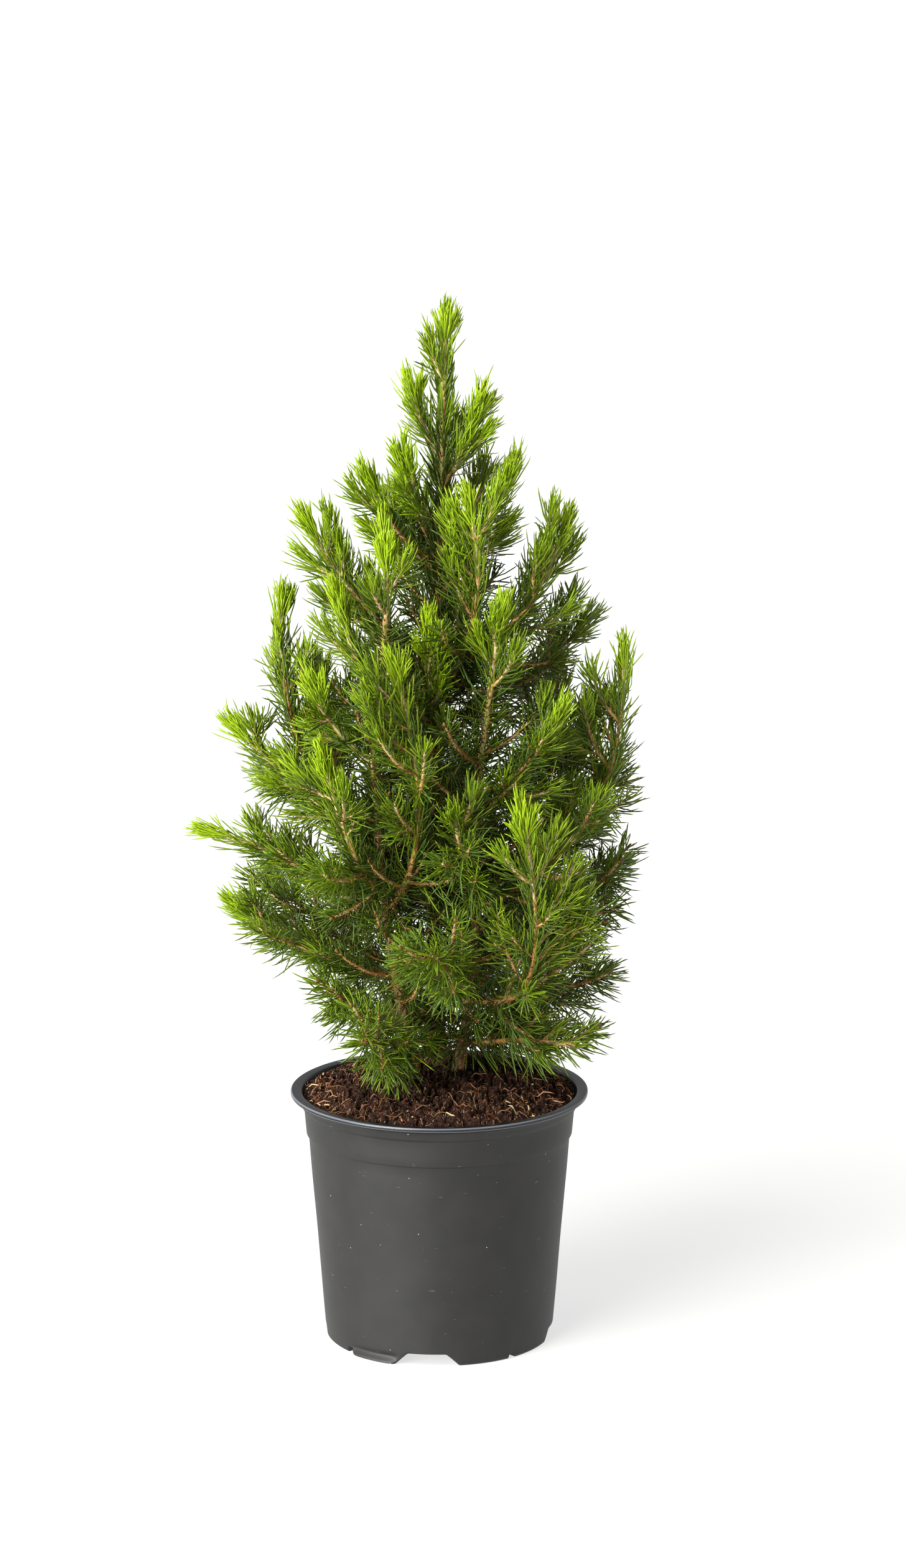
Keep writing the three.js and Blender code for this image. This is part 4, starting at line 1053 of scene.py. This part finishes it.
# Shoot wood: pale green near a growing tip, cream further back and orange brown on old growth. Each
# old shoot ends in a small brown winter bud.
TWIG_COLOURS = {"green_shoot_wood": "#8f9c48", "cream_shoot_wood": "#c3ab7c",
                "tan_twig_bark": "#b89059", "orange_twig_bark": "#a4723e"}
BUD_COLOUR = "#8a5a33"
TWIG_GRAIN = 0.0012
TWIG_RINGS = {"leader": 22, "twig": 12, "fine": 6, "bud": 5}
TWIG_RADII = {"leader": (0.0012, 0.0008), "twig": (0.0009, 0.00055), "fine": (0.0006, 0.0004),
              "bud": (0.0007, 0.0005)}
TWIG_AGES = (0.006, 0.030, 0.048)  # metres back from the tip where the next wood colour starts
TWIG_AGE_SWING = 0.004
OLD_AGE, BUD_FRESHNESS, BUD_LENGTH, BUD_RADIUS = 0.026, 0.10, 0.0024, 0.00060
BUD_PLACES, BUD_SHAPE = (-0.2, 0.3, 0.7, 1), (0.6, 1, 0.8, 0)
twig_materials = [grained(n, c, 0.75, TWIG_GRAIN) for n, c in TWIG_COLOURS.items()]

for kind, rings in TWIG_RINGS.items():
    grown = [shoot for shoot in shoots if shoot[1] == kind]
    shares = np.linspace(0, 1, rings)
    lines = np.array([curve.at(shares) for _, _, curve, *_ in grown])
    foot, tip = TWIG_RADII[kind]
    radii = (foot + (tip - foot) * shares) * draw.uniform(0.82, 1.22, (len(grown), rings))
    lengths = np.array([curve.length for _, _, curve, *_ in grown])
    aged = OLD_AGE * (1 - np.array([fresh for *_, fresh, _ in grown]))
    from_tip = lengths[:, None] * (1 - shares[None, :-1]) + aged[:, None]
    from_tip += draw.normal(0, TWIG_AGE_SWING, from_tip.shape)
    mesh = strands(f"{kind}_wood", lines, radii, 5, np.digitize(from_tip, TWIG_AGES))
    wood = new_piece(f"{kind}_wood", mesh, *twig_materials)
    if kind == "leader":
        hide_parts(*[row[0] for rows in SPRAYS.values() for row in rows])
    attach(wood, "root")

rested = [curve for _, kind, curve, _, fresh, _ in shoots
          if fresh < BUD_FRESHNESS and kind != "fine"]
bud_feet = np.array([curve.tip for curve in rested])
bud_ways = np.array([curve.heading(1)[0] for curve in rested])
bud_shares = np.array(BUD_PLACES)[None, :, None]
bud_lines = bud_feet[:, None] + BUD_LENGTH * bud_shares * bud_ways[:, None]
bud_radii = BUD_RADIUS * draw.uniform(0.8, 1.2, (len(rested), 1)) * np.array(BUD_SHAPE)
bud_mesh = strands("winter_buds", bud_lines, bud_radii, 5, np.zeros((len(rested), 3)))
buds = new_piece("winter_buds", bud_mesh, new_material("dry_bud_scales", BUD_COLOUR, 0.6, 0.3)[0])
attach(buds, "root")

# ---- Needles ----
# Stiff four-sided needles 10 to 15 mm long and well under 1 mm thick, set in a spiral. On a growing
# tip they close like a brush and are lime; behind it they stand out, and are longer and darker.

NEEDLE_COLOURS = {
    "needle_lime": "#8aa616", "needle_bright": "#7a9816", "needle_fresh": "#6f8b14",
    "needle_leaf": "#697f14", "needle_green": "#576f14", "needle_deep": "#455b12",
    "needle_old": "#2f420c", "needle_dark": "#1a2806", "needle_blue": "#4b652c",
}
SHADES = len(NEEDLE_COLOURS) - 1  # the last colour, bluish, is dealt out among the darker ones
BLUE_SHARE = 0.25
NEEDLE_LENGTH = {"leader": 0.0136, "twig": 0.0130, "fine": 0.0113, "bud": 0.0090, "limb": 0.0135}
NEEDLE_EVERY = {"leader": 0.00047, "twig": 0.00051, "fine": 0.00052, "bud": 0.00042, "limb": 0.00030}
NEEDLE_SHEEN = "#ffff94"  # the wax on a needle takes the blue out of what it reflects
NEEDLE_ROUGHNESS, NEEDLE_SPECULAR = 0.33, 0.65
NEEDLE_RADIUS = 0.00034
NEEDLE_SHARES = (0, 0.06, 0.42, 0.86, 1)  # the first stretch is the woody peg it stands on
NEEDLE_SHAPE = (1.15, 0.78, 1.0, 0.88, 0)
NEEDLE_PEGS = {"cream_needle_peg": "#b2a468", "tan_needle_peg": "#9c6f42"}
OLDEST_CREAM = 3  # the darkest shade of needle that stands on a cream peg
OPEN_ANGLE, SHUT_ANGLE = 66, 36  # of needles to the shoot: on old growth and on fresh growth
OPEN_TIP, SHUT_TIP, TIP_ZONE = 46, 13, 0.0085
BRUSH_COUNT = {"leader": (10, 44), "twig": (8, 20), "fine": (7, 9), "bud": (6, 14), "limb": (0, 0)}
BRUSH_DEPTH, BRUSH_FOOT, BRUSH_SLOPE = 0.0085, 0.0088, 0.55
FRESH_LENGTH = (0.003, 0.019)
ANGLE_SWING, LENGTH_SWING, RADIUS_SWING, NEEDLE_SINK = 6.5, 0.11, 0.1, 0.8
SUN_OUT, SUN_UP = 0.8, 0.6  # needles that point outwards and upwards get lighter colours, as painted light
HOOK, CURL, DROOP = 0.26, 0.16, 0.12
OLD_STRETCH = 1.20
PAINTED_LIGHT_GAIN, AGE_LOSS, AGED_LENGTH = 0.15, 0.13, 0.055
SHADE_SWING = 0.095


def clothe(kind, curve, first, fresh, light, draw, radius=None, last=1):
    """A shoot's needles: each one's points from foot to tip, and its material slot."""
    even = max(3, int(curve.length * (last - first) / NEEDLE_EVERY[kind]))
    t = first + (last - first) * (np.arange(even) + draw.random(even)) / even
    least, most = BRUSH_COUNT[kind]
    brush = int(least + (most - least) * fresh)
    t = np.concatenate((t, 1 - np.minimum(0.6, BRUSH_DEPTH / curve.length) * draw.random(brush)))
    count = len(t)
    from_tip = (1 - t) * curve.length
    out, heading = spiral(curve, t, 0.25, draw)
    young = np.exp(-((from_tip / TIP_ZONE) ** 1.5)) if kind != "limb" else np.zeros(count)
    spread = OPEN_ANGLE + (SHUT_ANGLE - OPEN_ANGLE) * min(1, fresh * 1.6)
    shut = OPEN_TIP + (SHUT_TIP - OPEN_TIP) * min(1, fresh * 1.5)
    angle = np.radians(spread + (shut - spread) * young + draw.normal(0, ANGLE_SWING, count))
    full = NEEDLE_LENGTH[kind] * (OLD_STRETCH + (1 - OLD_STRETCH) * min(1, fresh * 2))
    closed = BRUSH_FOOT + BRUSH_SLOPE * from_tip
    size = np.minimum(full, closed + (full - closed) * (1 - young) ** 2)
    size = size * draw.normal(1, LENGTH_SWING, count)
    way = heading * np.cos(angle)[:, None] + out * np.sin(angle)[:, None]
    bend = HOOK * (heading * 0.5 - out) + draw.normal(0, CURL, (count, 3))
    bend[:, 2] -= DROOP * (1 - min(1, fresh * 2)) * (1 - 0.5 * young)
    if radius is None:
        width = NEEDLE_SINK * TWIG_RADII[kind][1]
    else:
        width = np.interp(t, evenly, radius)[:, None]
    foot = curve.at(t) + out * width
    s = np.array(NEEDLE_SHARES)[None, :, None]
    lines = foot[:, None] + size[:, None, None] * (s * way[:, None] + s * s * bend[:, None])
    new = FRESH_LENGTH[0] + (FRESH_LENGTH[1] - FRESH_LENGTH[0]) * fresh
    gain = (1 - light) * min(1, fresh * 1.15) * np.clip(1.3 - from_tip / new, 0, 1)
    # Painted light: needles that point outwards and upwards, towards the lights, are dealt lighter
    # colours.
    sunward = unit(foot * (1, 1, 0)) * SUN_OUT + np.array((0, 0, SUN_UP))
    lightness = light + gain + PAINTED_LIGHT_GAIN * (out * sunward).sum(axis=1)
    lightness -= AGE_LOSS * np.clip(from_tip / AGED_LENGTH, 0, 1) - draw.normal(0, SHADE_SWING, count)
    slots = np.clip(((1 - lightness) * SHADES).astype(int), 0, SHADES - 1)
    bluish = (slots > 3) & (draw.random(count) < BLUE_SHARE)
    return lines, np.where(bluish, SHADES, slots)


def needle_piece(name, grown, nodes):
    lines = np.concatenate([made[0] for made in grown])
    slots = np.concatenate([made[1] for made in grown])
    radii = NEEDLE_RADIUS * draw.normal(1, RADIUS_SWING, (len(lines), 1)) * np.array(NEEDLE_SHAPE)
    slots = np.repeat(slots[:, None], len(NEEDLE_SHARES) - 1, axis=1)
    slots[:, 0] = len(NEEDLE_COLOURS) + (slots[:, 0] > OLDEST_CREAM)
    piece = new_piece(name, strands(name, lines, radii, 3, slots), *needle_materials)
    if nodes:
        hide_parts(*nodes)
    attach(piece, "root")


needle_materials = []
for name, colour in NEEDLE_COLOURS.items():
    wax, _, shader = new_material(name, colour, NEEDLE_ROUGHNESS, NEEDLE_SPECULAR)
    shader.inputs["Specular Tint"].default_value = linear(NEEDLE_SHEEN)
    needle_materials.append(wax)
needle_materials += [new_material(n, c, 0.8, 0.2)[0] for n, c in NEEDLE_PEGS.items()]
for tier, rows in (*SPRAYS.items(), ("inner", [])):
    grown = [clothe(kind, curve, first, fresh, light, draw)
             for place, kind, curve, first, fresh, light in shoots if place == tier]
    needle_piece(f"needles_{tier}", grown, [row[0] for row in rows])

# Needles also stand on the wood itself: thick on the upper trunk and stems, thin lower down.
NEEDLED = {"trunk": (0.60, 1), "stem_left": (0.45, 1), "stem_right": (0.45, 1)}
grown = []
for name, (curve, radii) in limbs.items():
    first, last = NEEDLED.get(name, (0.1, 1))
    fresh = 0.5 if name == "trunk" else 0.1
    # Needles on the wood take the inner twigs' dark colours, as painted shade.
    grown.append(clothe("limb", curve, first, fresh, SEASONS["inner"][1], draw, radii, last))
needle_piece("needles_on_limbs", grown, [])
